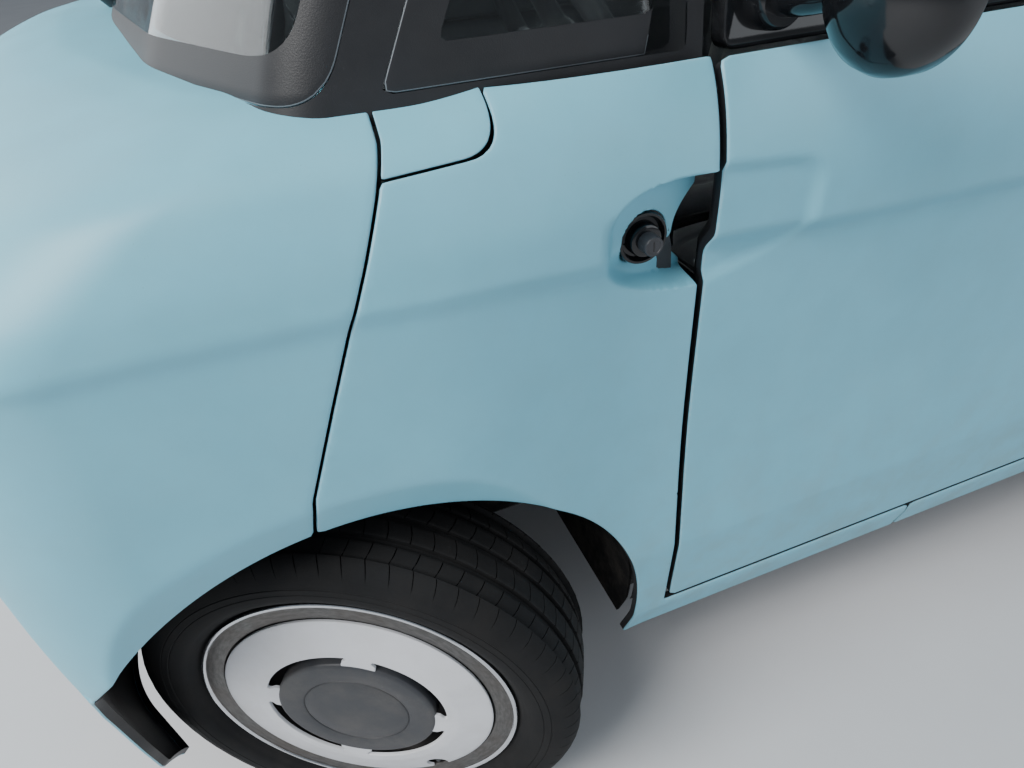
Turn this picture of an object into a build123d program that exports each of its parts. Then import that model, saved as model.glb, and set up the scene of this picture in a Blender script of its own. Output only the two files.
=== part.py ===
from build123d import *

import math
import os
from functools import lru_cache

# A closed electric microcar, millimetres. +X is forward, +Y is left, +Z is up, and the
# origin is on the ground at the middle of the car. The body repeats itself when it is
# turned half round about Z, so that one door, one front panel and one corner panel
# serve twice.

# Driving dimensions
LENGTH = 2535.0
WIDTH = 1400.0
HEIGHT = 1530.0
WHEELBASE = 1728.0
TYRE_RADIUS = 273.0
TYRE_WIDTH = 155.0
RIM_RADIUS = 178.0
HUB_LATERAL = 45.0        # wheel centre plane, outboard of the steering axis
KINGPIN_Y = 553.0
RIM_FACE = 110.0          # outer plane of the rim, outboard of the steering axis
RIM_LIP_RADIUS = 195.0
RIM_FLANGE_Y = 59.0       # bead seat, either side of the wheel centre plane
COVER_RADIUS = 166.0
COVER_DEPTH = 11.0        # back of the wheel cover's edge behind the rim's outer plane
COVER_DISH = 17.0         # how far the cover falls in from its edge to its windows
COVER_WINDOW_RADIUS = 110.0
CAP_RADIUS = 97.0
CAP_PROUD = 10.0          # face of the centre cap in front of the rim's outer plane
CAP_SEAT_RADIUS = 78.0
VALVE_RADIUS = 14.0
VALVE_REACH = 157.0       # middle of the valve notch from the wheel's axis
VALVE_ANGLE = -121.0
DISC_DEPTH = 36.0         # front of the wheel disc behind the rim's outer plane
DISC_WALL = 9.0
HUB_BORE = 32.0
PIN_RADIUS = 12.0
PIN_CLEAR = 0.06
ARM_REACH = 95.0          # suspension arms above and below the wheel's centre
STRUT_Y = 430.0
RAIL_INNER_Y = 270.0
RAIL_END_X = 1150.0
TOW_RADIUS = 7.0
TOW_DEPTH = 40.0
TOW_Z = 178.0
RAIL_OUTER_Y = 310.0
RAIL_BOTTOM_Z = 150.0
DRIVE_BASE_Z = 215.0
REST_STEER_DEG = -26.8    # the car stands with its front wheels turned to the right
WALL = 34.0               # body panel, skin and inner frame together
SEAM = 5.0                # open line between fixed panels
DOOR_GAP = 7.0            # open line round a door
SKIN = 5.0                # depth of lids and grooves in the panels
GLASS = 5.0
SEAT_CLEAR = 0.3          # clearance where one piece seats on another
BELT_Z = 950.0            # lower edge of the side windows
DOOR_HALF = 488.0         # half length of the door opening
DOOR_BOTTOM_Z = 236.0
DOOR_TOP_Z = 1432.0
DOOR_INNER = 30.0
ARCH_RADIUS = 330.0
ARCH_CREASE_RADIUS = 378.0
ARCH_LIP_Y = 682.0
LINER = 4.0
LINER_Y = 350.0            # inner wall of the wheel housings
FLOOR_Z = 214.0
FLOOR_WALL = 26.0
SILL_SPLIT_X = 55.0
HINGE_X = 476.0           # door hinge axis, from the middle of the car
HINGE_Y = 686.0
HINGE_RADIUS = 9.0
HINGE_LEVELS = (335.0, 690.0)
HINGE_PIN_RADIUS = 5.0
LOCK_RADIUS = 25.0
LOCK_X = 547.0
LOCK_Z = 805.0
SCOOP_REACH = 106.0
SCOOP_DEPTH = 42.0
SCOOP_HEIGHT = 45.0       # half the recess's height
FINGER_SLOT = 26.0        # length of the finger slot beside the door's edge
RELIEF_DEPTH = 5.0        # pad pressed into the door's leading edge
LAMP_RADIUS = 74.0
LAMP_Y = 455.0
LAMP_Z = 622.0
MIRROR_RADIUS = 75.0
STEERING_WHEEL_RADIUS = 175.0
CABIN_WALL = 30.0
WINDOW_BORDER = 30.0
LID_GAP = 1.5
LID_OUTLINE = [(762, 1000), (762, 921), (690, 915), (664, 932), (664, 1000)]

AXLE_X = WHEELBASE / 2
HALF_L = LENGTH / 2
HALF_W = WIDTH / 2
EAVES_Z = HEIGHT - 90
HUB_FACE = RIM_FACE - DISC_DEPTH - DISC_WALL - SEAT_CLEAR

# Body outline rows: height, then how far the door side, the wheel side and the nose
# stand in from half the width or length, then the corner's reach along X and along Y.
LOWER_ROWS = [
    (195, 58, 40, 60, 140, 215),
    (240, 44, 22, 30, 140, 215),
    (376, 32, 2, 4, 140, 215),
]
MIDDLE_ROWS = [
    (376, 32, 2, 4, 140, 215),
    (560, 41, 0, 0, 140, 215),
    (768, 40, 8, 12, 140, 215),
]
CREASE_ROWS = [
    (768, 40, 8, 12, 140, 215),
    (788, 24, 4, 14, 142, 218),
]
SHOULDER_ROWS = [
    (788, 24, 4, 14, 142, 218),
    (850, 24, 12, 40, 152, 233),
    (905, 33, 30, 77, 168, 270),
    (942, 48, 56, 124, 190, 299),
    (964, 66, 88, 180, 190, 312),
    (974, 96, 130, 232, 165, 310),
]

# Cabin outline rows: height, half width, then where the windscreen's outline turns in
# at the side, at its shoulder and at the middle.
CABIN_ROWS = [
    (930, 634, 838, 942, 998),
    (1150, 612, 752, 826, 872),
    (1340, 580, 648, 706, 742),
    (EAVES_Z, 552, 566, 612, 640),
]
ROOF_ROWS = [
    (EAVES_Z, 552, 566, 612, 640),
    (HEIGHT - 38, 505, 500, 540, 566),
    (HEIGHT - 10, 410, 400, 436, 456),
    (HEIGHT, 290, 280, 306, 320),
]


def body_section(row, inset):
    """Front left quarter of the body's plan outline at one height, as a face."""
    z, door_in, wheel_in, nose_in, bend_x, bend_y = row
    door_y = HALF_W - door_in - inset
    wheel_y = HALF_W - wheel_in - inset
    nose_x = HALF_L - nose_in - inset
    corner_y = wheel_y - bend_y
    crown = 16 + (bend_x - 140) * 0.2
    outline = [
        (540 - inset, door_y, 500),
        (740 - inset, wheel_y, 400),
        (nose_x - bend_x, wheel_y, max(60, 150 - inset)),
        (nose_x - crown, corner_y, 230),
        (nose_x, corner_y * 0.35, 0.325 * corner_y ** 2 / crown),
    ]
    return quarter_face(outline, z)


def cabin_section(row, inset):
    """Front left quarter of the cabin's plan outline above the belt at one height."""
    z, half_y, side_x, shoulder_x, middle_x = row
    y = half_y - inset
    shoulder_y = (y - 14) * 0.64
    front = middle_x - shoulder_x
    outline = [
        (side_x * 0.55, y, 480),
        (side_x - inset, y - 14, 60),
        (shoulder_x - inset, shoulder_y, 250),
        (middle_x - inset, shoulder_y * 0.3, 0.2 * shoulder_y ** 2 / front),
    ]
    return quarter_face(outline, z)


def quarter_face(outline, z):
    """Close x, y and corner radius points over the quarter's two middle planes."""
    first_y = outline[0][1]
    last_x = outline[-1][0]
    ring = [(0, 0, 0), (0, first_y, 0)] + outline + [(last_x, 0, 0)]
    points = [(x, y, z) for x, y, r in ring]
    radii = [r for x, y, r in ring]
    return make_face(FilletPolyline(*points, radius=radii, close=True))


@lru_cache(maxsize=None)
def body_solid(inset=0.0):
    """Front left quarter of the lower body, set in from the skin by inset."""
    lower = list(LOWER_ROWS)
    if inset:
        lower = [(LOWER_ROWS[0][0] - 60, *LOWER_ROWS[0][1:])] + lower
    shoulder = [
        (z - inset * (0.0 if z < 800 else min(1.0, (z - 788) / 150)), *rest)
        for z, *rest in SHOULDER_ROWS
    ]
    solid = loft([body_section(r, inset) for r in lower], ruled=True)
    solid += loft([body_section(r, inset) for r in MIDDLE_ROWS])
    solid += loft([body_section(r, inset) for r in CREASE_ROWS], ruled=True)
    solid += loft([body_section(r, inset) for r in shoulder])
    return solid


@lru_cache(maxsize=None)
def cabin_solid(inset=0.0):
    """Front left quarter of the cabin above the belt, set in by inset."""
    eaves_z = CABIN_ROWS[-1][0]
    lower = [(z - (inset if z == eaves_z else 0), *rest) for z, *rest in CABIN_ROWS]
    upper = [(z - inset, *rest) for z, *rest in ROOF_ROWS]
    solid = loft([cabin_section(r, inset) for r in lower])
    solid += loft([cabin_section(r, inset) for r in upper])
    return solid


def lengthwise(shape):
    """A quarter's shape joined with its image at the other end of the car."""
    return shape + mirror(shape, about=Plane.YZ)


def crosswise(shape):
    """A piece joined with its image on the other side of the car."""
    return shape + mirror(shape, about=Plane.XZ)


def prism_y(points, y0, y1, radii=0.0):
    """A solid with an outline in the XZ plane, from y0 to y1."""
    corners = [(x, 0, z) for x, z in points]
    if radii:
        outline = FilletPolyline(*corners, radius=radii, close=True)
    else:
        outline = Polyline(*corners, close=True)
    face = make_face(outline)
    solid = extrude(face, amount=y1 - y0, dir=(0, 1, 0))
    return Pos(0, y0, 0) * solid


def prism_x(points, x0, x1, radii=0.0):
    """A solid with an outline in the YZ plane, from x0 to x1."""
    corners = [(0, y, z) for y, z in points]
    if radii:
        outline = FilletPolyline(*corners, radius=radii, close=True)
    else:
        outline = Polyline(*corners, close=True)
    face = make_face(outline)
    solid = extrude(face, amount=x1 - x0, dir=(1, 0, 0))
    return Pos(x0, 0, 0) * solid


def box(x0, x1, y0, y1, z0, z1):
    """A block between two corners."""
    size = (x1 - x0, y1 - y0, z1 - z0)
    return Pos((x0 + x1) / 2, (y0 + y1) / 2, (z0 + z1) / 2) * Box(*size)


def along_y(radius, length, x, y0, z):
    """A round bar along +Y that starts at y0."""
    return Pos(x, y0 + length / 2, z) * Rot(90, 0, 0) * Cylinder(radius, length)


def along_x(radius, length, x0, y, z):
    """A round bar along +X that starts at x0."""
    return Pos(x0 + length / 2, y, z) * Rot(0, 90, 0) * Cylinder(radius, length)


def turned(shape):
    """The same piece turned half round about Z."""
    return Rot(0, 0, 180) * shape


def mirrored(shape):
    """The same piece on the other side of the car."""
    return mirror(shape, about=Plane.XZ)


def revolved_y(profile):
    """Turn a closed profile of lateral, radius points about the Y axis."""
    face = make_face(Polyline(*[(0, y, r) for y, r in profile], close=True))
    return revolve(face, axis=Axis.Y)


def solids_of(shape):
    """Every solid of a shape, largest first."""
    return sorted(shape.solids(), key=lambda s: -s.volume)


def keep(name, *shapes):
    """Write one node from its solids."""
    pieces = [s for shape in shapes for s in shape.solids()]
    node = pieces[0] if len(pieces) == 1 else Compound(children=pieces)
    export_step(node, f"parts/{name}.step")


def seam_line(shift):
    """Line between nose panel and corner panel, moved along X, from top to arch."""
    points = [(760, 1000), (768, 930), (780, 900), (815, 825), (850, 743), (886, 655), (897, 590)]
    return [(x + shift, z) for x, z in points]


def arch_cutter():
    """Wheel opening in the body side: a bore with a wide chamfer at the skin."""
    bore = along_y(ARCH_RADIUS, 500, AXLE_X, 320, TYRE_RADIUS)
    depth = HALF_W + 20 - ARCH_LIP_Y
    flare = (ARCH_CREASE_RADIUS - ARCH_RADIUS) / (HALF_W - ARCH_LIP_Y)
    outer = ARCH_RADIUS + flare * depth
    cone = Pos(AXLE_X, ARCH_LIP_Y + depth / 2, TYRE_RADIUS) * Rot(-90, 0, 0)
    return bore + cone * Cone(ARCH_RADIUS, outer, depth)


def all_four(shape):
    """One corner's piece repeated at the four corners of the car."""
    return crosswise(lengthwise(shape))


def scoop_cutter():
    """Finger recess that deepens from the lock to the door's edge."""
    ball = scale(Sphere(1), by=(SCOOP_REACH, SCOOP_DEPTH, SCOOP_HEIGHT))
    slot_z = SCOOP_HEIGHT - 8
    level = LOCK_Z - 5
    slot = box(DOOR_HALF - 1, DOOR_HALF + FINGER_SLOT, HALF_W - 100, HALF_W, level - slot_z, level + slot_z)
    return Pos(DOOR_HALF, HALF_W - 12, level) * ball + slot


def relief_cutter():
    """Shallow pad that carries the recess on across the door's leading edge."""
    edge = DOOR_HALF + 10
    level = LOCK_Z - 5
    outline = [(edge, level - 50), (440, level - 47), (402, level - 35), (378, level - 8),
               (382, level + 30), (402, level + 56), (edge, level + 66)]
    return prism_y(outline, HALF_W - 100, HALF_W, [1, 30, 30, 20, 30, 20, 1]) - body_solid(RELIEF_DEPTH)


def body_panels():
    """Nose, tail and four corner panels with their lids and locks."""
    outer = body_solid()
    cabin_hole = Pos(0, 0, -60) * extrude(cabin_section(CABIN_ROWS[0], -SEAT_CLEAR), amount=160)
    shell = outer - body_solid(WALL) - arch_cutter() - cabin_hole
    far = HALF_L + 100
    top = 1000.0
    arch_x = seam_line(0)[-1][0]
    low = [(arch_x + SEAM / 2, 0), (far, 0), (far, top)]

    nose = shell & prism_y(seam_line(SEAM / 2) + low, 0, HALF_W + 100)
    nose -= box(HALF_L - 180, far, 0, HALF_W, 434, 444) - body_solid(SKIN)
    nose -= along_x(LAMP_RADIUS + 1, 400, 1000, LAMP_Y, LAMP_Z)
    nose = crosswise(nose) - lower_intake() - plate_recess()
    keep("front_fascia", nose)
    keep("rear_fascia", turned(nose))

    corner_outline = [(DOOR_HALF, 0), (arch_x - SEAM / 2, 0)] + seam_line(-SEAM / 2)[::-1]
    corner = shell & prism_y(corner_outline + [(DOOR_HALF, top)], 0, HALF_W + 100)
    sill_z = DOOR_BOTTOM_Z - DOOR_GAP
    long_sill = box(0, DOOR_HALF + 1, 300, HALF_W, 100, sill_z)
    sill = shell & long_sill
    stub_sill = sill & box(0, SILL_SPLIT_X - SEAM / 2, 300, HALF_W, 100, sill_z)
    front_sill = sill & box(SILL_SPLIT_X + SEAM / 2, far, 300, HALF_W, 100, sill_z)

    scooped = corner + front_sill - scoop_cutter()
    scooped -= along_y(LOCK_RADIUS + SEAT_CLEAR, 200, LOCK_X, 560, LOCK_Z)
    skin = outer - body_solid(SKIN) - cabin_hole
    scooped -= skin & prism_y(LID_OUTLINE, 560, HALF_W)
    keep("quarter_front_left", scooped)
    keep("quarter_rear_right", turned(scooped))
    lid = skin & prism_y(offset_outline(LID_OUTLINE, LID_GAP), 560, HALF_W)
    keep("corner_lids", lid, turned(lid))

    rear = mirror(corner + sill, about=Plane.YZ) + stub_sill
    keep("quarter_rear_left", rear)
    keep("quarter_front_right", turned(rear))

    button = lock_button()
    keep("lock_buttons", button, turned(button))


def offset_outline(points, gap):
    """Outline whose points move towards their middle by gap, for a lid in a recess."""
    cx = sum(p[0] for p in points) / len(points)
    cz = sum(p[1] for p in points) / len(points)
    moved = []
    for x, z in points:
        reach = math.hypot(x - cx, z - cz)
        moved.append((x + (cx - x) * gap / reach, z + (cz - z) * gap / reach))
    return moved


def lock_button():
    """Round push button with a key cylinder in its middle."""
    barrel = along_y(LOCK_RADIUS, 56, LOCK_X, 618, LOCK_Z)
    ring = along_y(LOCK_RADIUS - 5, 6, LOCK_X, 669, LOCK_Z)
    key = along_y(9, 18, LOCK_X, 660, LOCK_Z)
    slot = box(LOCK_X - 1, LOCK_X + 1, 676, 690, LOCK_Z - 5, LOCK_Z + 5)
    return barrel - ring + key - slot


def lower_intake():
    """Three slots in the lower nose, with the bars between them left standing."""
    slots = None
    for z in (262, 288, 314):
        slot = prism_x([(-250, z - 8), (250, z - 8), (250, z + 8), (-250, z + 8)], 1100, 1300, 7.5)
        slots = slot if slots is None else slots + slot
    return slots


def plate_recess():
    """Flat seat for a number plate with its two screw holes."""
    flat = box(1262, 1300, -135, 135, 345, 425)
    holes = along_x(3.0, 120, 1180, 90, 385) + along_x(3.0, 120, 1180, -90, 385)
    return flat + holes


def window_holes(border):
    """Outlines of windscreen, side window and roof, as cutters set in by border."""
    b = border
    screen = prism_x([(0, 955 + b), (596 - b, 955 + b), (504 - b, 1440 - b), (0, 1440 - b)],
                     500, 1100, [0, 60, 50, 0])
    side = prism_y([(500 + b * 0.8, 957 + b * 0.6), (752 - b * 1.3, 957 + b * 0.6),
                    (583 - b * 0.8, 1412 - b * 0.7), (500 + b * 0.8, 1412 - b * 0.7)], 400, 800, 12)
    roof_x, roof_y = 410 - b, 380 - b
    roof = Pos(roof_x / 2, roof_y / 2, 1400) * Box(roof_x, roof_y, 400)
    roof = fillet(roof.edges().filter_by(Axis.Z).sort_by_distance((roof_x, roof_y, 1400))[0], 90)
    return screen, side, roof


def cabin_frame():
    """Pillars, roof rails and window seats above the belt, with their panes."""
    outer = cabin_solid()
    frame = outer - cabin_solid(CABIN_WALL)
    frame -= box(-1, DOOR_HALF, 300, 800, 900, DOOR_TOP_Z)
    glass_skin = outer - cabin_solid(GLASS + SEAT_CLEAR)
    pane_skin = outer - cabin_solid(GLASS)
    for seat, hole in zip(window_holes(0), window_holes(WINDOW_BORDER)):
        frame -= glass_skin & seat
        frame -= hole
    keep("cabin_frame", all_four(frame))

    screen, side, roof = [pane_skin & cut for cut in window_holes(1.5)]
    screen = crosswise(screen)
    keep("windscreen", screen)
    keep("rear_window", turned(screen))
    keep("side_windows", all_four(side))
    keep("roof_glass", all_four(roof))


def door_panel():
    """Lower door, a full skin over a narrower inner frame, hollowed for its pocket."""
    outer = body_solid()
    mid = body_solid(WALL)
    half = DOOR_HALF - DOOR_GAP
    side_y = HALF_W - 140
    skin = (outer - mid) & box(0, half, side_y, HALF_W, DOOR_BOTTOM_Z, BELT_Z - 2)
    inner_zone = box(0, half - 26, side_y, HALF_W, DOOR_BOTTOM_Z + 20, BELT_Z - 50)
    frame = (mid - body_solid(WALL + DOOR_INNER)) & inner_zone
    recess = box(-1, half - 90, side_y, HALF_W - 75, 420, 800)
    return lengthwise(skin + (frame - recess)) - relief_cutter()


def door_window():
    """Upper door: window frame with its pane."""
    outer = cabin_solid()
    ring = lengthwise((outer - cabin_solid(24)) & box(0, DOOR_HALF, 300, 800, 900, DOOR_TOP_Z))
    skin = lengthwise((outer - cabin_solid(GLASS)) & box(0, DOOR_HALF, 300, 800, 900, DOOR_TOP_Z))
    half = DOOR_HALF - DOOR_GAP
    rear, front, low, high = -half + 4, half - 14, BELT_Z - 2 + SEAT_CLEAR, DOOR_TOP_Z - 7

    def zone(rear_in, front_in, low_in, high_in, radius):
        corners = [(rear + rear_in, low + low_in), (front - front_in, low + low_in),
                   (front - front_in, high - high_in), (rear + rear_in, high - high_in)]
        return prism_y(corners, 300, 800, radius)

    frame = ring & zone(0, 0, 0, 0, 12)
    frame -= skin & zone(24, 70, 12, 22, 24)
    frame -= zone(48, 96, 34, 46, 24)
    pane = skin & zone(25, 71, 13, 23, 23)
    return frame, pane


def door_mirror():
    """Round door mirror on a short arm from the window's front corner."""
    centre = (432, 786, 1018)
    shell = Sphere(MIRROR_RADIUS) & Box(MIRROR_RADIUS * 2, MIRROR_RADIUS * 2, MIRROR_RADIUS * 2)
    shell = scale(shell, by=(0.52, 1.0, 1.0)) & box(0, 100, -100, 100, -100, 100)
    rim = Pos(-6, 0, 0) * Rot(0, 90, 0) * Cylinder(MIRROR_RADIUS, 12)
    glass_seat = Pos(-10, 0, 0) * Rot(0, 90, 0) * Cylinder(MIRROR_RADIUS - 5, 6)
    head = Pos(*centre) * (shell + rim - glass_seat)
    arm_path = FilletPolyline((425, 700, 992), (425, 738, 1012), (432, 786, 1018), radius=18)
    foot = Pos(425, 640, 985) * Rot(90, 0, 0) * Cylinder(24, 70)
    arm_start = arm_path @ 0
    arm = sweep(Plane(origin=arm_start, z_dir=arm_path % 0) * Circle(12), path=arm_path)
    bridge = Pos(425, 680, 990) * Sphere(22)
    return head + arm + bridge + foot - lengthwise(cabin_solid())


def doors():
    """Both doors: the same pieces, hinged at the rear on the left, at the front right."""
    panel = door_panel()
    frame, pane = door_window()
    knuckles = [hinge_leaf(z) for z in HINGE_LEVELS]
    for leaf in knuckles:
        panel += leaf
    mirror_piece = door_mirror()
    sides = [("left", lambda s: s), ("right", turned)]
    for side, place in sides:
        keep(f"door_{side}_panel", place(panel))
        keep(f"door_{side}_window_frame", place(frame))
        keep(f"door_{side}_window", place(pane))
    keep("mirror_left", mirror_piece)
    keep("mirror_right", Pos(27, 0, 0) * mirrored(mirror_piece))


def hinge_leaf(z):
    """Middle knuckle of a door hinge with the leaf that ends in the door."""
    knuckle = Pos(-HINGE_X, HINGE_Y, z) * Cylinder(HINGE_RADIUS, 40)
    knuckle += box(-HINGE_X, -HINGE_X + 60, HINGE_Y - 38, HINGE_Y - 2, z - 16, z + 16)
    knuckle -= Pos(-HINGE_X, HINGE_Y, z) * Cylinder(HINGE_PIN_RADIUS + PIN_CLEAR, 60)
    return knuckle


def hinge_fixed(z):
    """Fixed knuckles, pin and leaf of a door hinge, seated on the corner panel."""
    pin = Pos(-HINGE_X, HINGE_Y, z) * Cylinder(HINGE_PIN_RADIUS, 96)
    for shift in (-35, 35):
        pin += Pos(-HINGE_X, HINGE_Y, z + shift) * Cylinder(HINGE_RADIUS, 26)
        pin += box(-HINGE_X - 60, -HINGE_X, HINGE_Y - 12, HINGE_Y - 4, z + shift - 13, z + shift + 13)
    foot = box(-HINGE_X - 60, -DOOR_HALF - 2, HINGE_Y - 40, HINGE_Y - 4, z - 48, z + 48)
    return pin + (foot - mirror(body_solid(), about=Plane.YZ))


def wheel_place(front, side):
    """Location of a wheel's own frame, where +Y is its outer side."""
    x = AXLE_X if front else -AXLE_X
    outward = Rot(0, 0, 0) if side > 0 else Rot(0, 0, 180)
    steer = Rot(0, 0, REST_STEER_DEG) if front else Rot(0, 0, 0)
    return Pos(x, side * KINGPIN_Y, TYRE_RADIUS) * steer * outward


def tyre_solid():
    """Tyre as a closed ring; its tread pattern is left smooth."""
    half = TYRE_WIDTH / 2
    bead = RIM_RADIUS + SEAT_CLEAR
    bead_y = RIM_FLANGE_Y - SEAT_CLEAR
    profile = [(bead_y, bead), (bead_y, RIM_LIP_RADIUS + 3), (half, TYRE_RADIUS - 46), (half - 20, TYRE_RADIUS)]
    profile += [(-y, radius) for y, radius in reversed(profile)]
    return Pos(0, HUB_LATERAL, 0) * revolved_y(profile)


def rim_solid():
    """Pressed wheel: barrel with two flanges, a dished disc and a stepped outer ring."""
    face = RIM_FACE - HUB_LATERAL
    seat = RIM_RADIUS
    lip = RIM_LIP_RADIUS
    flange = RIM_FLANGE_Y
    shelf = face - COVER_DEPTH - SEAT_CLEAR
    disc = face - DISC_DEPTH
    profile = [
        (flange, seat), (flange, lip - 3), (face - 1, lip), (face, lip - 4), (face - 3, COVER_RADIUS + 1),
        (shelf, COVER_RADIUS + 1), (shelf, COVER_RADIUS - 14), (disc, 140), (disc, 60),
        (disc + 2, HUB_BORE), (disc - DISC_WALL, HUB_BORE), (disc - DISC_WALL, 142), (disc - DISC_WALL + 6, 158),
        (-flange + 10, 158), (-flange - 5, lip - 10), (-flange - 5, lip - 5), (-flange, lip - 5), (-flange, seat),
    ]
    return Pos(0, HUB_LATERAL, 0) * revolved_y(profile)


def cover_solid():
    """Dished wheel cover with four arc windows and a valve notch, and its raised cap."""
    back = RIM_FACE - COVER_DEPTH
    front = RIM_FACE - 6
    window = COVER_WINDOW_RADIUS
    seat = CAP_SEAT_RADIUS
    floor = front - COVER_DISH
    plate = revolved_y([(back, COVER_RADIUS), (back, COVER_RADIUS - 14), (floor - 5, window - 3), (floor - 6.5, seat),
                        (floor - 1.5, seat), (floor, window), (front, COVER_RADIUS - 6), (front, COVER_RADIUS)])
    ring = Rot(90, 0, 0) * (Cylinder(window, 300) - Cylinder(CAP_RADIUS - 1, 400))
    for i in range(4):
        ring -= Rot(0, 90 * i, 0) * Pos(window - 5, 0, 0) * Box(60, 300, 34)
    turn = math.radians(VALVE_ANGLE)
    notch = along_y(VALVE_RADIUS, 80, VALVE_REACH * math.cos(turn), back - 40, VALVE_REACH * math.sin(turn))
    top = RIM_FACE + CAP_PROUD
    skirt = floor + 0.2
    cap = [(floor - 8, 0), (floor - 8, seat - SEAT_CLEAR), (skirt, seat - SEAT_CLEAR), (skirt, CAP_RADIUS),
           (top - 3, CAP_RADIUS), (top, CAP_RADIUS - 4), (top, 66), (top - 2, 65), (top - 2, 63), (top, 62), (top, 0)]
    return plate - ring - notch, revolved_y(cap)


def wheels():
    """Four wheels, each a tyre, a rim and a cover with its cap."""
    tyre = tyre_solid()
    rim = rim_solid()
    plate, cap = cover_solid()
    corners = [("front_left", True, 1), ("front_right", True, -1), ("rear_left", False, 1),
               ("rear_right", False, -1)]
    for name, front, side in corners:
        place = wheel_place(front, side)
        keep(f"tyre_{name}", place * tyre)
        keep(f"rim_{name}", place * rim)
        keep(f"cover_{name}", place * plate, place * cap)


def hub(inner_end):
    """Wheel hub on its spindle, from inner_end out to the wheel's seat and pilot."""
    spindle = along_y(17, HUB_FACE - inner_end, 0, inner_end, 0)
    flange = along_y(48, 12, 0, HUB_FACE - 12, 0)
    pilot = along_y(HUB_BORE - SEAT_CLEAR, 8, 0, HUB_FACE - 1, 0)
    return spindle + flange + pilot


def knuckle():
    """Steering knuckle: pins top and bottom, a carrier and the wheel's hub."""
    carrier = along_y(46, 30, 0, -36, 0)
    carrier += box(-20, 20, -30, 12, -ARM_REACH + 14.3, ARM_REACH - 14.3)
    carrier += Cylinder(PIN_RADIUS, 2 * ARM_REACH + 10)
    carrier += box(-110, 0, -34, -18, -12, 8)
    return carrier + hub(-30)


def suspension():
    """Front arms and struts, knuckles, and the rear beam with its arms and struts."""
    for name, side in (("left", 1), ("right", -1)):
        keep(f"knuckle_{name}", wheel_place(True, side) * knuckle())

    z = TYRE_RADIUS
    arms = None
    for level in (-ARM_REACH + 6, ARM_REACH - 6):
        arm = box(AXLE_X - 15, AXLE_X + 15, 240, KINGPIN_Y, z + level - 8, z + level + 8)
        arm += Pos(AXLE_X, KINGPIN_Y, z + level) * Cylinder(22, 16)
        arm -= Pos(AXLE_X, KINGPIN_Y, z + level) * Cylinder(PIN_RADIUS + PIN_CLEAR, 40)
        arms = arm if arms is None else arms + arm
    strut = Pos(AXLE_X, STRUT_Y, 0) * (Pos(0, 0, 397) * Cylinder(16, 400) + coil(235, 590, 38, 26))
    tower = box(AXLE_X - 20, AXLE_X + 20, 235, 255, 160, 400)
    member = box(AXLE_X - 40, AXLE_X + 40, 0, RAIL_INNER_Y - SEAT_CLEAR, 150, DRIVE_BASE_Z - SEAT_CLEAR)
    keep("front_suspension", crosswise(member + arms + strut + tower))

    beam = box(-AXLE_X - 25, -AXLE_X + 25, 0, KINGPIN_Y - 40, z - 30, z + 20)
    stub = Pos(-AXLE_X, KINGPIN_Y, z) * (along_y(40, 30, 0, -50, 0) + hub(-40))
    arm_y = RAIL_OUTER_Y + SEAT_CLEAR
    trail = box(-AXLE_X - 25, -AXLE_X + 25, arm_y, arm_y + 30, RAIL_BOTTOM_Z + 10, z + 20)
    trail += box(-AXLE_X, -AXLE_X + 300, arm_y, arm_y + 30, RAIL_BOTTOM_Z + 10, RAIL_BOTTOM_Z + 50)
    damper = Pos(-AXLE_X, STRUT_Y, 0) * (Pos(0, 0, 420) * Cylinder(15, 354) + coil(280, 590, 36, 26))
    keep("rear_axle", crosswise(beam + stub + trail + damper))


def coil(z0, z1, radius, pitch):
    """Spring round a strut: a stack of rounded rings joined by the strut."""
    count = int((z1 - z0) / pitch)
    profile = [(16, z0 - 6), (radius, z0 - 6)]
    for i in range(count):
        level = z0 + pitch * i
        profile += [(radius, level), (radius - 9, level + pitch * 0.3), (radius - 9, level + pitch * 0.7)]
    profile += [(radius, z1), (radius, z1 + 8), (0, z1 + 8), (0, z0 - 6)]
    face = make_face(Polyline(*[(r, 0, z) for r, z in profile[1:]], close=True))
    return revolve(face, axis=Axis.Z)


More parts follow.
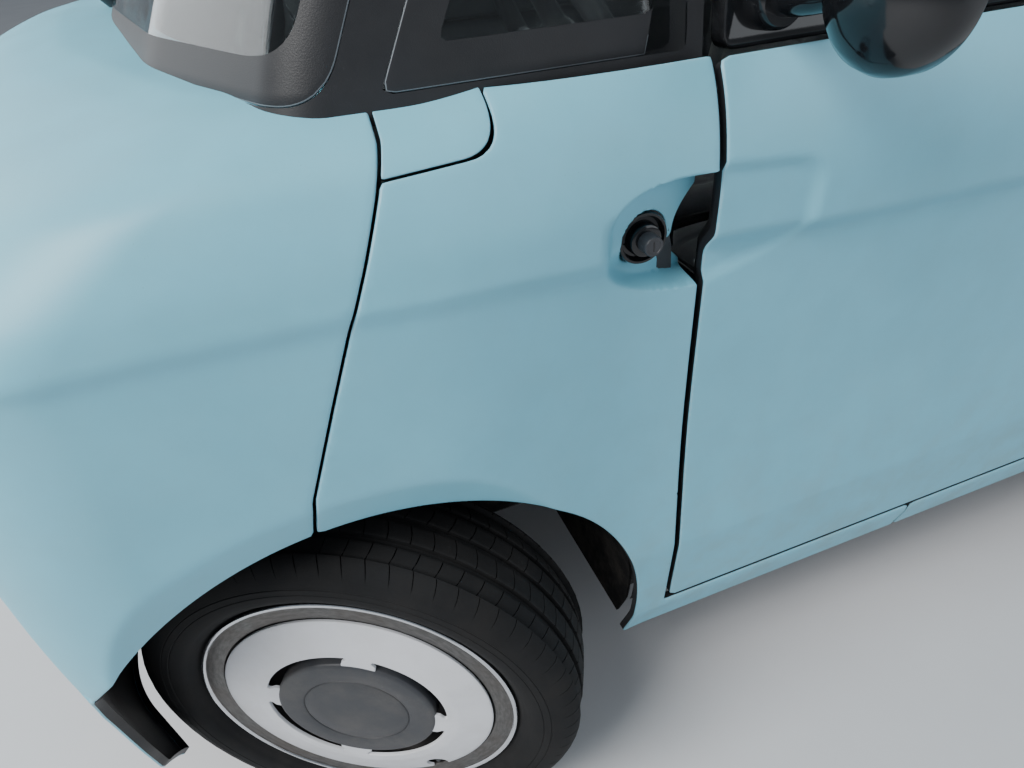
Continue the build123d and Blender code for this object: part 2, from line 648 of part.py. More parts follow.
def underbody():
    """Floor, wheel housings, rails, battery and drive unit."""
    outer_r = ARCH_RADIUS + 8
    floor_top = FLOOR_Z + FLOOR_WALL
    floor = box(-720, 720, -590, 590, FLOOR_Z, floor_top)
    housing = along_y(outer_r, HALF_W - LINER_Y, AXLE_X, LINER_Y, TYRE_RADIUS)
    hollow = along_y(outer_r - LINER, HALF_W, AXLE_X, LINER_Y + LINER, TYRE_RADIUS)
    hollow += box(AXLE_X - 60, AXLE_X + 60, LINER_Y - 10, LINER_Y + 50, 100, 400)
    hollow += Pos(AXLE_X, STRUT_Y, 600) * Cylinder(40 + SEAT_CLEAR, 200)
    hollow += box(AXLE_X - 500, AXLE_X + 500, 300, 800, -100, 200)
    liner = (housing - hollow) & body_solid(WALL)
    floor -= all_four(along_y(outer_r + SEAT_CLEAR, 500, AXLE_X, LINER_Y - SEAT_CLEAR, TYRE_RADIUS))
    pair = crosswise(liner)
    keep("arch_liners_front", pair)
    keep("arch_liners_rear", turned(pair))

    bulk_y = LINER_Y - SEAT_CLEAR
    bulk = box(735, 760, -bulk_y, bulk_y, floor_top + SEAT_CLEAR, 930)
    floor += lengthwise(box(719, 770, -bulk_y, bulk_y, FLOOR_Z, floor_top))
    keep("bulkheads", bulk, turned(bulk))
    keep("floor_pan", floor)
    rail_top = FLOOR_Z - SEAT_CLEAR
    rail = box(-RAIL_END_X, RAIL_END_X, RAIL_INNER_Y, RAIL_OUTER_Y, RAIL_BOTTOM_Z, rail_top)
    arm_gap = box(AXLE_X - 17, AXLE_X + 17, 200, 400, TYRE_RADIUS - ARM_REACH - 10, 214)
    rail -= arm_gap
    tow_y = (RAIL_INNER_Y + RAIL_OUTER_Y) / 2
    rail -= lengthwise(along_x(TOW_RADIUS, TOW_DEPTH, RAIL_END_X - TOW_DEPTH, tow_y, TOW_Z))
    keep("chassis_rails", crosswise(rail))
    battery = box(-380, 380, -255, 255, 140, rail_top)
    keep("battery_box", fillet(battery.edges().filter_by(Axis.Z), 18))
    motor = along_y(85, 210, 940, -60, DRIVE_BASE_Z + 85) + box(840, 1040, -210, -60, DRIVE_BASE_Z, 400)
    keep("drive_unit", motor)


def seat(side):
    """One seat: a base shell, cushion and back as plain soft forms."""
    y = 235 * side
    cushion = Pos(-60, y, 0) * box(-220, 230, -205, 205, 420, 500)
    cushion = fillet(cushion.edges(), 26)
    back = Pos(-205, y, 511.7) * Rot(0, -14, 0) * box(-70, 10, -205, 205, 0, 540)
    back = fillet(back.edges(), 26)
    base = Pos(-60, y, 0) * box(-200, 200, -150, 150, FLOOR_Z + FLOOR_WALL, 420)
    return base, cushion + back


def interior():
    """Seats, dashboard and steering wheel."""
    for name, side in (("left", 1), ("right", -1)):
        base, soft = seat(side)
        keep(f"seat_base_{name}", base)
        keep(f"seat_{name}", soft)
    dash = prism_y([(560, 700), (560, 860), (640, 905), (734.7, 905), (734.7, 700)], -500, 500, 0)
    dash += prism_y([(560, 700), (560, 860), (640, 905), (734.7, 905), (734.7, 700)], 500, 560, 0)
    keep("dashboard", dash)
    tilt = Pos(430, 235, 880) * Rot(0, -62, 0)
    rim = Torus(STEERING_WHEEL_RADIUS, 14)
    hub = Cylinder(46, 40)
    spokes = Box(STEERING_WHEEL_RADIUS * 2 - 6, 32, 14) + Box(32, STEERING_WHEEL_RADIUS * 2 - 6, 14)
    column = Pos(0, 0, -100) * Cylinder(24, 200)
    wheel = tilt * (rim + hub + spokes + column)
    wheel -= dash
    keep("steering_wheel", solids_of(wheel)[0])


def trim():
    """Wiper, lamps and the fixed halves of the door hinges."""
    lens = along_x(LAMP_RADIUS, 60, 1150, LAMP_Y, LAMP_Z)
    skin = body_solid() & along_x(LAMP_RADIUS, 400, 1100, LAMP_Y, LAMP_Z)
    lamp = skin + lens
    keep("headlamps", lamp, mirrored(lamp))
    tail = turned(lamp)
    keep("tail_lamps", tail, mirrored(tail))

    hinges = [hinge_fixed(z) for z in HINGE_LEVELS]
    keep("door_hinges", *hinges, *[turned(h) for h in hinges])

    spindle = Pos(982, 40, 968) * Rot(0, 30, 0) * Cylinder(12, 40)
    arm_path = Polyline((990, 40, 984), (962, 140, 1012), (906, 250, 1075))
    arm = sweep(Plane(origin=arm_path @ 0, z_dir=arm_path % 0) * Circle(5), path=arm_path,
                transition=Transition.ROUND)
    wiper = spindle + arm - crosswise(cabin_solid())
    keep("wiper", solids_of(wiper)[0])


def main():
    os.makedirs("parts", exist_ok=True)
    body_panels()
    cabin_frame()
    doors()
    wheels()
    suspension()
    underbody()
    interior()
    trim()


main()
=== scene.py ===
"""Looks of a small closed electric car, built around its fixed frame.

Shapes are worked out in millimetres as surfaces of two parameters, and turned into
metres when they become meshes.
"""

import logging
import math
from dataclasses import dataclass, field, replace
from enum import Enum
from functools import cache
from typing import Callable, Iterable, Sequence

import bpy
import numpy as np
from mathutils import Matrix


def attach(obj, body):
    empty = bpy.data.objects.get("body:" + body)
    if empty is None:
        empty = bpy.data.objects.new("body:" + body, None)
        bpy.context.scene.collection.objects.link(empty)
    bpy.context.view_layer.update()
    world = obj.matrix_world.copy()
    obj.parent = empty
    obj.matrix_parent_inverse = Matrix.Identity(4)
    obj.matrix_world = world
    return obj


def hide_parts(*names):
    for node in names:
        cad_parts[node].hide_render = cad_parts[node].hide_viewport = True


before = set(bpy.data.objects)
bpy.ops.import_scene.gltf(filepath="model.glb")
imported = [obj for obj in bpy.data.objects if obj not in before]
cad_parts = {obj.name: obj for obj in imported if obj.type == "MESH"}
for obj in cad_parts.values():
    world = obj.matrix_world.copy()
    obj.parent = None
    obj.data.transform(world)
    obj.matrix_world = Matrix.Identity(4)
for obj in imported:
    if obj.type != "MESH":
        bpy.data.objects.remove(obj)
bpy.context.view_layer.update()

Array = np.ndarray
Field = Callable[[Array], Array]
Triple = tuple[float, float, float]
Outline = Sequence[tuple[float, float]]
Socket = bpy.types.NodeSocket
Tree = bpy.types.NodeTree
log = logging.getLogger("microcar")

MM = 0.001
HALF_L = 1267.5
HALF_W = 700.0
AXLE_X = 864.0
AXLE_Z = 273.0
KINGPIN_Y = 553.0
WHEEL_MIDDLE = 45.0
REST_STEER = math.radians(-26.8)
DOOR_EDGE = 488.0
DOOR_HALF = 481.0
ARCH_RADIUS = 330.0
ARCH_CREASE = 378.0
ARCH_LIP_Y = 682.0
SILL_TOP = 251.0
BELT = 951.0
WELD = 0.00005
FAR = 400.0


# ---------------------------------------------------------------- numbers and grids


def smoothstep(low: float, high: float, x: Array) -> Array:
    """Share from 0 below low to 1 above high, with level ends: 3t² - 2t³."""
    t = np.clip((x - low) / (high - low), 0.0, 1.0)
    return t * t * (3.0 - 2.0 * t)


def highest(*values: Array) -> Array:
    """Highest of several values, point by point."""
    return np.maximum.reduce(values)


def soft_min(a: Array, b: Array, reach: float) -> Array:
    """Lower of two values, rounded over reach where they cross."""
    h = np.clip(0.5 + 0.5 * (b - a) / reach, 0.0, 1.0)
    return b * (1 - h) + a * h - reach * h * (1 - h)


def soft_max(a: Array, b: Array, reach: float) -> Array:
    """Higher of two values, rounded over reach where they cross."""
    return -soft_min(-a, -b, reach)


def span(low: float, high: float, step: float) -> Array:
    """Evenly spaced values from low to high, about step apart."""
    return np.linspace(low, high, max(2, int(math.ceil((high - low) / step)) + 1))


def circle(count: int) -> Array:
    """Angles of evenly spaced points once round."""
    return np.linspace(0, 2 * math.pi, count, endpoint=False)


def running(steps: Array) -> Array:
    """Sums along a row of steps, from 0 on."""
    return np.concatenate([[0], np.cumsum(steps)])


def lengths(points: Array) -> Array:
    """Way along a row of points, from 0 on."""
    return running(np.linalg.norm(np.diff(points, axis=0), axis=1))


def plane(u: Array, v: Array) -> Array:
    """Every pair of two rows of numbers, as a (rows, columns, 2) table."""
    return np.stack(np.meshgrid(u, v, indexing="ij"), -1)


def shift_along(p: Array, axis: int, by: Array) -> Array:
    """Points moved along one axis."""
    made = p.copy()
    made[..., axis] += by
    return made


def hermite(knots: Array, values: Array, at: Array) -> Array:
    """Smooth curve through rows of values.

    Each span is a cubic whose end slopes are the mean of the spans beside the knot.

    Args:
        knots: Rising parameter of each row.
        values: One row of numbers per knot.
        at: Parameters to work out.

    Returns:
        One row of numbers per parameter.
    """
    gaps = np.diff(knots)[:, None]
    rise = np.diff(values, axis=0) / gaps
    slope = np.vstack([rise[:1], (rise[1:] * gaps[:-1] + rise[:-1] * gaps[1:]) / (gaps[1:] + gaps[:-1]), rise[-1:]])
    i = np.clip(np.searchsorted(knots, at, side="right") - 1, 0, len(knots) - 2)
    g = gaps[i]
    t = ((at - knots[i])[:, None]) / g
    t2, t3 = t * t, t * t * t
    return (
        (2 * t3 - 3 * t2 + 1) * values[i]
        + (t3 - 2 * t2 + t) * g * slope[i]
        + (3 * t2 - 2 * t3) * values[i + 1]
        + (t3 - t2) * g * slope[i + 1]
    )


def lookup(table: Array, row: Array, col: Array) -> Array:
    """Points between the entries of a table, straight both ways between neighbours."""
    r = np.clip(row, 0, table.shape[0] - 1.000001)
    c = np.clip(col, 0, table.shape[1] - 1.000001)
    i, j = r.astype(int), c.astype(int)
    fr, fc = (r - i)[..., None], (c - j)[..., None]
    top = table[i, j] * (1 - fc) + table[i, j + 1] * fc
    low = table[i + 1, j] * (1 - fc) + table[i + 1, j + 1] * fc
    return top * (1 - fr) + low * fr


def rounded_line(corners: Array, radii: Array, step: float) -> Array:
    """Open lines with rounded corners, every row of them sampled alike.

    Between corners the line is straight. Round a corner it is an arc whose tangent
    length is its radius times the tangent of half the turn.

    Args:
        corners: (rows, points, 2) corner points.
        radii: (rows, points - 2) radius at each inner point.
        step: Spacing of the samples on the middle row.

    Returns:
        (rows, samples, 2) points.
    """
    legs = np.diff(corners, axis=1)
    reach = np.linalg.norm(legs, axis=2, keepdims=True)
    way = legs / reach
    turn = way[:, :-1, 0] * way[:, 1:, 1] - way[:, :-1, 1] * way[:, 1:, 0]
    angle = np.arctan2(turn, (way[:, :-1] * way[:, 1:]).sum(2))
    tangent = radii * np.tan(np.abs(angle) / 2)
    mid = len(corners) // 2
    parts, start = [], corners[:, 0]
    for k in range(radii.shape[1]):
        before = corners[:, k + 1] - way[:, k] * tangent[:, k, None]
        after = corners[:, k + 1] + way[:, k + 1] * tangent[:, k, None]
        count = max(2, int(np.linalg.norm(before[mid] - start[mid]) / step))
        t = np.linspace(0, 1, count, endpoint=False)[None, :, None]
        parts.append(start[:, None] * (1 - t) + before[:, None] * t)
        side = np.sign(angle[:, k])[:, None]
        inward = np.stack([-way[:, k, 1], way[:, k, 0]], 1) * side
        count = max(3, int(radii[mid, k] * abs(angle[mid, k]) / step))
        q = np.linspace(0, 1, count, endpoint=False)[None, :] * np.abs(angle[:, k])[:, None]
        r = radii[:, k, None]
        parts.append(
            before[:, None]
            + way[:, k][:, None] * (r * np.sin(q))[..., None]
            + inward[:, None] * (r * (1 - np.cos(q)))[..., None]
        )
        start = after
    count = max(2, int(np.linalg.norm(corners[mid, -1] - start[mid]) / step))
    t = np.linspace(0, 1, count)[None, :, None]
    parts.append(start[:, None] * (1 - t) + corners[:, -1][:, None] * t)
    return np.concatenate(parts, axis=1)


# ---------------------------------------------------------------- patches and pieces


@dataclass
class Patch:
    """Faces worked out on a grid, before they become part of a mesh."""

    points: Array
    quads: Array
    tris: Array
    uv4: Array
    uv3: Array
    rim: Array
    finish: int = 0
    paint: Array | None = None

    def outward(self, way: Field) -> "Patch":
        """The patch with its faces turned, on the whole, the way that a function gives for their middles."""
        a, b, c = (self.points[self.quads[:, k]] for k in range(3))
        return self.turned_over() if (np.cross(b - a, c - a) * way((a + c) / 2)).sum() < 0 else self

    def faced(self, towards: Sequence[float]) -> "Patch":
        """The patch with its faces turned to point along a direction on the whole."""
        return self.outward(lambda middle: np.array(towards, float))

    def faced_from(self, centre: Sequence[float]) -> "Patch":
        """The patch with its faces turned away from a point on the whole."""
        return self.outward(lambda middle: middle - np.array(centre, float))

    def turned_over(self) -> "Patch":
        """The patch with every face pointing the other way."""
        return replace(self, quads=self.quads[:, ::-1], tris=self.tris[:, ::-1], uv4=self.uv4[:, ::-1],
                       uv3=self.uv3[:, ::-1])

    def moved(self, change: Field) -> "Patch":
        """The patch with its points changed by a function."""
        return replace(self, points=change(self.points))

    def mirrored(self, axes: Sequence[int]) -> "Patch":
        """The patch's image across the planes of some axes, faces kept outwards."""
        sign = np.ones(3)
        sign[list(axes)] = -1
        made = replace(self, points=self.points * sign)
        return made.turned_over() if len(axes) % 2 else made

    def painted(self, finish: int) -> "Patch":
        """The patch with another place in its piece's list of finishes."""
        return replace(self, finish=finish, paint=None)

    def painting(self) -> Array:
        """Material place of each four-sided face."""
        return np.full(len(self.quads), self.finish) if self.paint is None else self.paint


def grid_patch(points: Array, wrap_rows: bool = False, wrap_cols: bool = False, uv: Array | None = None) -> Patch:
    """Faces between neighbouring points of a grid.

    Args:
        points: (rows, columns, 3) points.
        wrap_rows: Whether the last row joins the first.
        wrap_cols: Whether the last column joins the first.
        uv: (rows + wrap, columns + wrap, 2) surface place in metres, if wanted.

    Returns:
        The patch.
    """
    n, m = points.shape[:2]
    index = np.arange(n * m).reshape(n, m)
    if wrap_rows:
        index = np.vstack([index, index[:1]])
    if wrap_cols:
        index = np.hstack([index, index[:, :1]])
    if uv is None:
        uv = plane(np.arange(index.shape[0]), np.arange(index.shape[1])) * 0.01
    ring = [(slice(None, -1), slice(None, -1)), (slice(1, None), slice(None, -1)),
            (slice(1, None), slice(1, None)), (slice(None, -1), slice(1, None))]
    quads = np.stack([index[r] for r in ring], -1).reshape(-1, 4)
    places = np.stack([uv[r] for r in ring], -2).reshape(-1, 4, 2)
    return Patch(points.reshape(-1, 3).astype(float), quads, np.zeros((0, 3), int), places, np.zeros((0, 3, 2)),
                 np.ones(n * m))


def edge_lengths(points: Array) -> Array:
    """Surface place of each grid point in metres, added up along middle row and column."""
    n, m = points.shape[:2]
    return plane(lengths(points[:, m // 2]), lengths(points[n // 2])) * MM


def trimmed_patch(surface: Callable[[Array, Array], Array], u: Array, v: Array, outline: Field,
                  finish: int = 0, edge: float = 0.0) -> Patch:
    """A surface cut along an outline, with its edge points moved onto the outline.

    The outline is a signed distance f, below zero inside. On each grid line that crosses
    it, the point less than half a cell from the crossing slides along that line until f
    is nothing. Faces with a corner outside are dropped, or kept as a triangle where only
    one corner is outside. Edge points that are still off the outline then follow its slope.

    Args:
        surface: Gives points for arrays of the two parameters, in millimetres.
        u: First parameter of the grid.
        v: Second parameter of the grid.
        outline: Signed distance of points from the outline.
        finish: Place of its material in the piece's list.
        edge: How far inside the outline the patch ends, for a rounded edge beyond it.

    Returns:
        The patch.
    """
    uu, vv = np.meshgrid(u, v, indexing="ij")
    gap_u, gap_v, small = np.gradient(u), np.gradient(v), 0.25
    cell_u, cell_v = np.meshgrid(gap_u, gap_v, indexing="ij")

    def slopes(a: Array, b: Array) -> tuple[Array, Array, Array]:
        f = outline(surface(a, b)) + edge
        fu = (outline(surface(a + small, b)) - outline(surface(a - small, b))) / (2 * small)
        fv = (outline(surface(a, b + small)) - outline(surface(a, b - small))) / (2 * small)
        return f, fu, fv

    far = outline(surface(uu, vv)) + edge
    near = np.abs(far) < 1.5 * np.maximum(cell_u, cell_v)
    du, dv = cell_u[near], cell_v[near]
    a0, b0 = uu[near], vv[near]
    f, fu, fv = slopes(a0, b0)
    along_u = np.abs(fu) * du > np.abs(fv) * dv
    slope = np.where(along_u, fu, fv)
    snap = np.abs(f) < 0.5 * np.where(along_u, np.abs(fu) * du, np.abs(fv) * dv)
    a, b = a0.copy(), b0.copy()
    for _ in range(5):
        step = np.where(snap, -f / np.where(np.abs(slope) < 0.05, np.inf, slope), 0.0)
        a = np.where(along_u, np.clip(a + step, a0 - 0.56 * du, a0 + 0.56 * du), a)
        b = np.where(along_u, b, np.clip(b + step, b0 - 0.56 * dv, b0 + 0.56 * dv))
        f = outline(surface(a, b)) + edge
    uu[near], vv[near] = a, b
    held = np.full(uu.shape, False)
    held[near] = snap | (f < 0)
    held |= (far < 0) & ~near
    n, m = uu.shape
    index = np.arange(n * m).reshape(n, m)
    quads = np.stack([index[:-1, :-1], index[1:, :-1], index[1:, 1:], index[:-1, 1:]], -1).reshape(-1, 4)
    ok = held.ravel()[quads]
    whole = quads[ok.all(1)]
    part = ok.sum(1) == 3
    lost = np.argmin(ok[part], axis=1)
    order = (lost[:, None] + np.array([1, 2, 3])) % 4
    tris = np.take_along_axis(quads[part], order, 1)
    place = np.stack([uu, vv], -1).reshape(-1, 2)

    def area(faces: Array) -> Array:
        p = place[faces]
        q = np.roll(p, -1, axis=1)
        return np.abs((p[..., 0] * q[..., 1] - q[..., 0] * p[..., 1]).sum(1)) / 2

    least = 0.03 * (cell_u * cell_v).ravel()
    whole, tris = whole[area(whole) > least[whole[:, 0]]], tris[area(tris) > least[tris[:, 0]]]
    held = Patch(place, whole, tris, place[whole], place[tris], place[:, 0])
    rim = np.unique(border(held))
    inner = (place[rim, 0] > u[0] + 0.01) & (place[rim, 0] < u[-1] - 0.01)
    inner &= (place[rim, 1] > v[0] + 0.01) & (place[rim, 1] < v[-1] - 0.01)
    rim = rim[inner]
    a0, b0 = place[rim].T
    du, dv = cell_u.ravel()[rim], cell_v.ravel()[rim]
    a, b = a0.copy(), b0.copy()
    for _ in range(3):
        f, fu, fv = slopes(a, b)
        size = np.maximum(fu * fu + fv * fv, 0.05)
        a = np.clip(a - f * fu / size, a0 - 0.8 * du, a0 + 0.8 * du)
        b = np.clip(b - f * fv / size, b0 - 0.8 * dv, b0 + 0.8 * dv)
    place[rim] = np.stack([a, b], -1)
    used = np.unique(np.concatenate([whole.ravel(), tris.ravel()]))
    new = np.full(n * m, -1)
    new[used] = np.arange(len(used))
    points = surface(place[used, 0], place[used, 1])
    return Patch(points, new[whole], new[tris], place[whole] * MM, place[tris] * MM, -outline(points) * MM, finish)


def point_normals(patch: Patch) -> Array:
    """Mean outward direction at each point, from the faces round it."""
    total = np.zeros_like(patch.points)
    for faces in (patch.quads, patch.tris):
        if len(faces):
            a, b, c = (patch.points[faces[:, k]] for k in (0, 1, 2))
            across = np.cross(b - a, c - a)
            for k in range(faces.shape[1]):
                np.add.at(total, faces[:, k], across)
    return total / np.maximum(np.linalg.norm(total, axis=1, keepdims=True), 1e-9)


def border(patch: Patch) -> Array:
    """Directed edges with a face on one side only, as pairs of point numbers."""
    pairs = [np.stack([f, np.roll(f, -1, axis=1)], -1).reshape(-1, 2) for f in (patch.quads, patch.tris) if len(f)]
    edges = np.concatenate(pairs)
    count = len(patch.points)
    forward = edges[:, 0] * count + edges[:, 1]
    backward = edges[:, 1] * count + edges[:, 0]
    return edges[~np.isin(forward, backward)]


def rolled_edge(patch: Patch, radius: float, depth: float, steps: int = 3, finish: int | None = None,
                flange: int | None = None, only: Field | None = None) -> Patch:
    """The patch with its open edge rolled round and carried back as a flange.

    At angle a round the roll, an edge point goes radius·sin a outwards along the
    surface and radius·(1 - cos a) back, and the flange then goes straight back.

    Args:
        patch: Open patch, with faces pointing outwards.
        radius: Radius of the roll.
        depth: How far back the flange reaches.
        steps: Points round the roll.
        finish: Material place of the roll, or None for the patch's own.
        flange: Material place of the flange, or None for the roll's.
        only: Says which edge points are rolled; all of them if left out.

    Returns:
        One patch with roll and flange joined on.
    """
    edges = border(patch)
    if only is not None:
        edges = edges[only(patch.points[edges].mean(1))]
    normal = point_normals(patch)
    along = patch.points[edges[:, 1]] - patch.points[edges[:, 0]]
    out = np.zeros_like(patch.points)
    for k in (0, 1):
        np.add.at(out, edges[:, k], np.cross(along, normal[edges[:, k]]))
    ring = np.unique(edges)
    out = out[ring] / np.maximum(np.linalg.norm(out[ring], axis=1, keepdims=True), 1e-9)
    back = -normal[ring]
    base = patch.points[ring]
    angles = np.linspace(0, math.pi / 2, steps + 1)[1:]
    rows = [base + out * radius * math.sin(a) + back * radius * (1 - math.cos(a)) for a in angles]
    rows.append(rows[-1] + back * max(depth - radius, 0.1))
    slot = np.full(len(patch.points), -1)
    slot[ring] = np.arange(len(ring))
    count = len(patch.points)
    points, quads, previous = [patch.points], [patch.quads], edges
    for k, row in enumerate(rows):
        current = slot[edges] + count + k * len(ring)
        quads.append(np.stack([previous[:, 0], current[:, 0], current[:, 1], previous[:, 1]], -1))
        points.append(row)
        previous = current
    added = sum(len(q) for q in quads[1:])
    extra = np.tile(np.array([[0.0, 0.0], [0.004, 0.0], [0.004, 0.004], [0.0, 0.004]]), (added, 1, 1))
    rim = np.concatenate([patch.rim] + [patch.rim[ring] * 0.0] * len(rows))
    finish = patch.finish if finish is None else finish
    flange = finish if flange is None else flange
    paint = np.concatenate([patch.painting(), np.full(added - len(edges), finish), np.full(len(edges), flange)])
    return replace(patch, points=np.concatenate(points), quads=np.concatenate(quads),
                   uv4=np.concatenate([patch.uv4, extra]), rim=rim, paint=paint)


def backed(patch: Patch, thickness: float, finish: int | None = None) -> Patch:
    """A second skin behind a patch, facing back, thickness away along its normals."""
    behind = patch.points - point_normals(patch) * thickness
    made = replace(patch, points=behind).turned_over()
    return made if finish is None else made.painted(finish)


class Piece:
    """One named object of the car, put together from patches."""

    def __init__(self, name: str, body: str, finishes: Sequence["Finish"], slot: str | None = None,
                 stands_for: Sequence[str] = ()) -> None:
        """Note the piece's name, body, finishes, record slot and the nodes it replaces."""
        self.name, self.body, self.finishes, self.slot = name, body, list(finishes), slot
        self.stands_for, self.patches = list(stands_for), []

    def add(self, *patches: Patch, axes: Sequence[int] = ()) -> "Piece":
        """Add patches, or their images across the planes of some axes, to the piece."""
        self.patches.extend(p.mirrored(axes) for p in patches)
        return self

    def build(self, sharp: float = 40.0, merge: float = 0.0) -> bpy.types.Object:
        """Turn the patches into one mesh that rides on its body.

        Args:
            sharp: Angle in degrees past which an edge is left hard.
            merge: Distance in metres within which points are joined, or 0.

        Returns:
            The object, at the origin.
        """
        parts = self.patches
        base = running([len(p.points) for p in parts])
        co = np.concatenate([p.points for p in parts]) * MM
        faces = np.concatenate([p.quads + b for p, b in zip(parts, base)]).tolist()
        faces += np.concatenate([p.tris + b for p, b in zip(parts, base)]).tolist()
        uv = [p.uv4.reshape(-1, 2) for p in parts] + [p.uv3.reshape(-1, 2) for p in parts]
        paint = [p.painting() for p in parts] + [np.full(len(p.tris), p.finish) for p in parts]
        mesh = bpy.data.meshes.new(self.name)
        mesh.from_pydata(co, [], faces)
        mesh.uv_layers.new(name="UVMap").data.foreach_set("uv", np.concatenate(uv).astype(np.float32).ravel())
        for finish in self.finishes:
            mesh.materials.append(material_of(finish))
        mesh.polygons.foreach_set("material_index", np.concatenate(paint).astype(np.int32))
        mesh.polygons.foreach_set("use_smooth", np.ones(len(faces), bool))
        rim = np.concatenate([p.rim for p in parts]).astype(np.float32)
        mesh.attributes.new("rim", "FLOAT", "POINT").data.foreach_set("value", rim)
        mesh.update()
        mesh.set_sharp_from_angle(angle=math.radians(sharp))
        made = bpy.data.objects.new(self.name, mesh)
        bpy.context.scene.collection.objects.link(made)
        if merge:
            weld = made.modifiers.new("weld", "WELD")
            weld.merge_threshold = merge
        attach(made, self.body)
        if self.stands_for:
            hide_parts(*self.stands_for)
        log.info("%s: %d points, %d faces on %s", self.name, len(co), len(faces), self.body)
        return made


# ---------------------------------------------------------------- outer form of the car


class Form:
    """Plan outlines of the front left quarter stacked by height, as a table of points."""

    def keep(self, heights: Array, ups: Array, plan: Array, row: int) -> None:
        """Note the height of each row, the way up to it, its outline, and the row that the way round follows."""
        along = lengths(plan[row])
        for name, value in (("heights", heights), ("ups", ups), ("plan", plan), ("along", along),
                            ("reach", float(along[-1]))):
            object.__setattr__(self, name, value)

    def up_at(self, z: float) -> float:
        """Surface parameter at a height."""
        return float(np.interp(z, self.heights, self.ups))

    def at(self, s: Array, up: Array, rise: Callable[[Array, Array], Array] | None = None) -> Array:
        """Points of the plain skin of the front left quarter and, past its ends, of its images.

        Args:
            s: Way round the plan outline in millimetres, 0 at the middle of the side
                and reach at the middle of the nose.
            up: Way up the skin in millimetres.
            rise: How far the skin's shape is lifted at an x and a height, if at all.

        Returns:
            Points, in millimetres.
        """
        s, up = np.broadcast_arrays(s, up)
        across = np.abs(s) > self.reach
        folded = np.where(across, 2 * self.reach - np.abs(s), np.abs(s))
        col = np.interp(folded, self.along, np.arange(len(self.along)))
        rows = np.arange(len(self.ups))
        row = np.interp(up, self.ups, rows)
        z = np.interp(up, self.ups, self.heights)
        if rise is not None:
            row = np.interp(up - rise(lookup(self.plan, row, col)[..., 0], z), self.ups, rows)
        flat = lookup(self.plan, row, col)
        return np.stack([flat[..., 0] * np.where(s < 0, -1.0, 1.0), flat[..., 1] * np.where(across, -1.0, 1.0), z], -1)


@dataclass(frozen=True)
class BodyForm(Form):
    """Painted skin below the belt.

    Each row holds height, how far door side, wheel side and nose stand in from half
    the width or length, and the corner's reach along X and along Y.
    """

    lower: tuple = ((195, 58, 26, 38, 140, 215), (240, 44, 12, 15, 140, 215), (376, 32, 2, 4, 140, 215))
    middle: tuple = ((376, 32, 2, 4, 140, 215), (560, 41, 0, 0, 140, 215), (768, 40, 8, 12, 140, 215))
    shoulder: tuple = ((788, 24, 4, 14, 142, 218), (850, 24, 12, 40, 152, 233), (905, 33, 30, 77, 168, 270),
                       (942, 48, 56, 124, 190, 299), (964, 66, 88, 180, 190, 312), (974, 96, 130, 232, 165, 310))
    cowl: tuple = (975, 150, 190, 330, 110, 300)
    step: float = 3.0

    def __post_init__(self) -> None:
        """Work out the table of points that everything else is read from."""
        rows, ups = [], []
        up = 0.0
        for block, smooth in ((self.lower, False), (self.middle, True), (self.middle[-1:] + self.shoulder[:1], False),
                              (self.shoulder, True), (self.shoulder[-1:] + (self.cowl,), False)):
            values = np.array(block, float)
            knots = running(np.hypot(np.diff(values[:, 0]), np.diff(values[:, 3]) * 0.7))
            at = span(0, knots[-1], self.step)
            if smooth:
                dense = hermite(knots, values, at)
            else:
                dense = np.stack([np.interp(at, knots, column) for column in values.T], 1)
            first = 1 if rows else 0
            rows.append(dense[first:])
            ups.append(up + at[first:])
            up += knots[-1]
        table = np.concatenate(rows)
        kernel = np.array([1, 2, 3, 2, 1], float) / 9
        for k in range(1, 6):
            table[:, k] = np.convolve(np.pad(table[:, k], 2, mode="edge"), kernel, mode="valid")
        z, door_in, wheel_in, nose_in, bend_x, bend_y = table.T
        door_y, wheel_y, nose_x = HALF_W - door_in, HALF_W - wheel_in, HALF_L - nose_in
        corner_y, crown = wheel_y - bend_y, 16 + (bend_x - 140) * 0.2
        zero = np.zeros_like(z)
        corners = np.stack([np.stack(pair, 1) for pair in (
            (zero, door_y), (zero + 540, door_y), (zero + 740, wheel_y), (nose_x - bend_x, wheel_y),
            (nose_x - crown, corner_y), (nose_x, corner_y * 0.35), (nose_x, zero))], 1)
        radii = np.stack([zero + 500, zero + 400, zero + 150, zero + 230, 0.325 * corner_y ** 2 / crown], 1)
        plan = rounded_line(corners, radii, self.step)
        self.keep(z, np.concatenate(ups), plan, len(plan) * 2 // 5)

    @staticmethod
    def crease_rise(x: Array, z: Array) -> Array:
        """How far the waist crease stands above its level at the door's rear, where z is by the crease."""
        rise = np.interp(np.abs(x), [100, 339, 480, 610, 700, 814, 960], [-4, 4, 11, 18, 29, 40, 46])
        return rise * smoothstep(610, 760, z) * (1 - smoothstep(800, 905, z))

    def base(self, s: Array, up: Array) -> Array:
        """Points of the skin with its waist crease rising towards the ends."""
        return self.at(s, up, self.crease_rise)


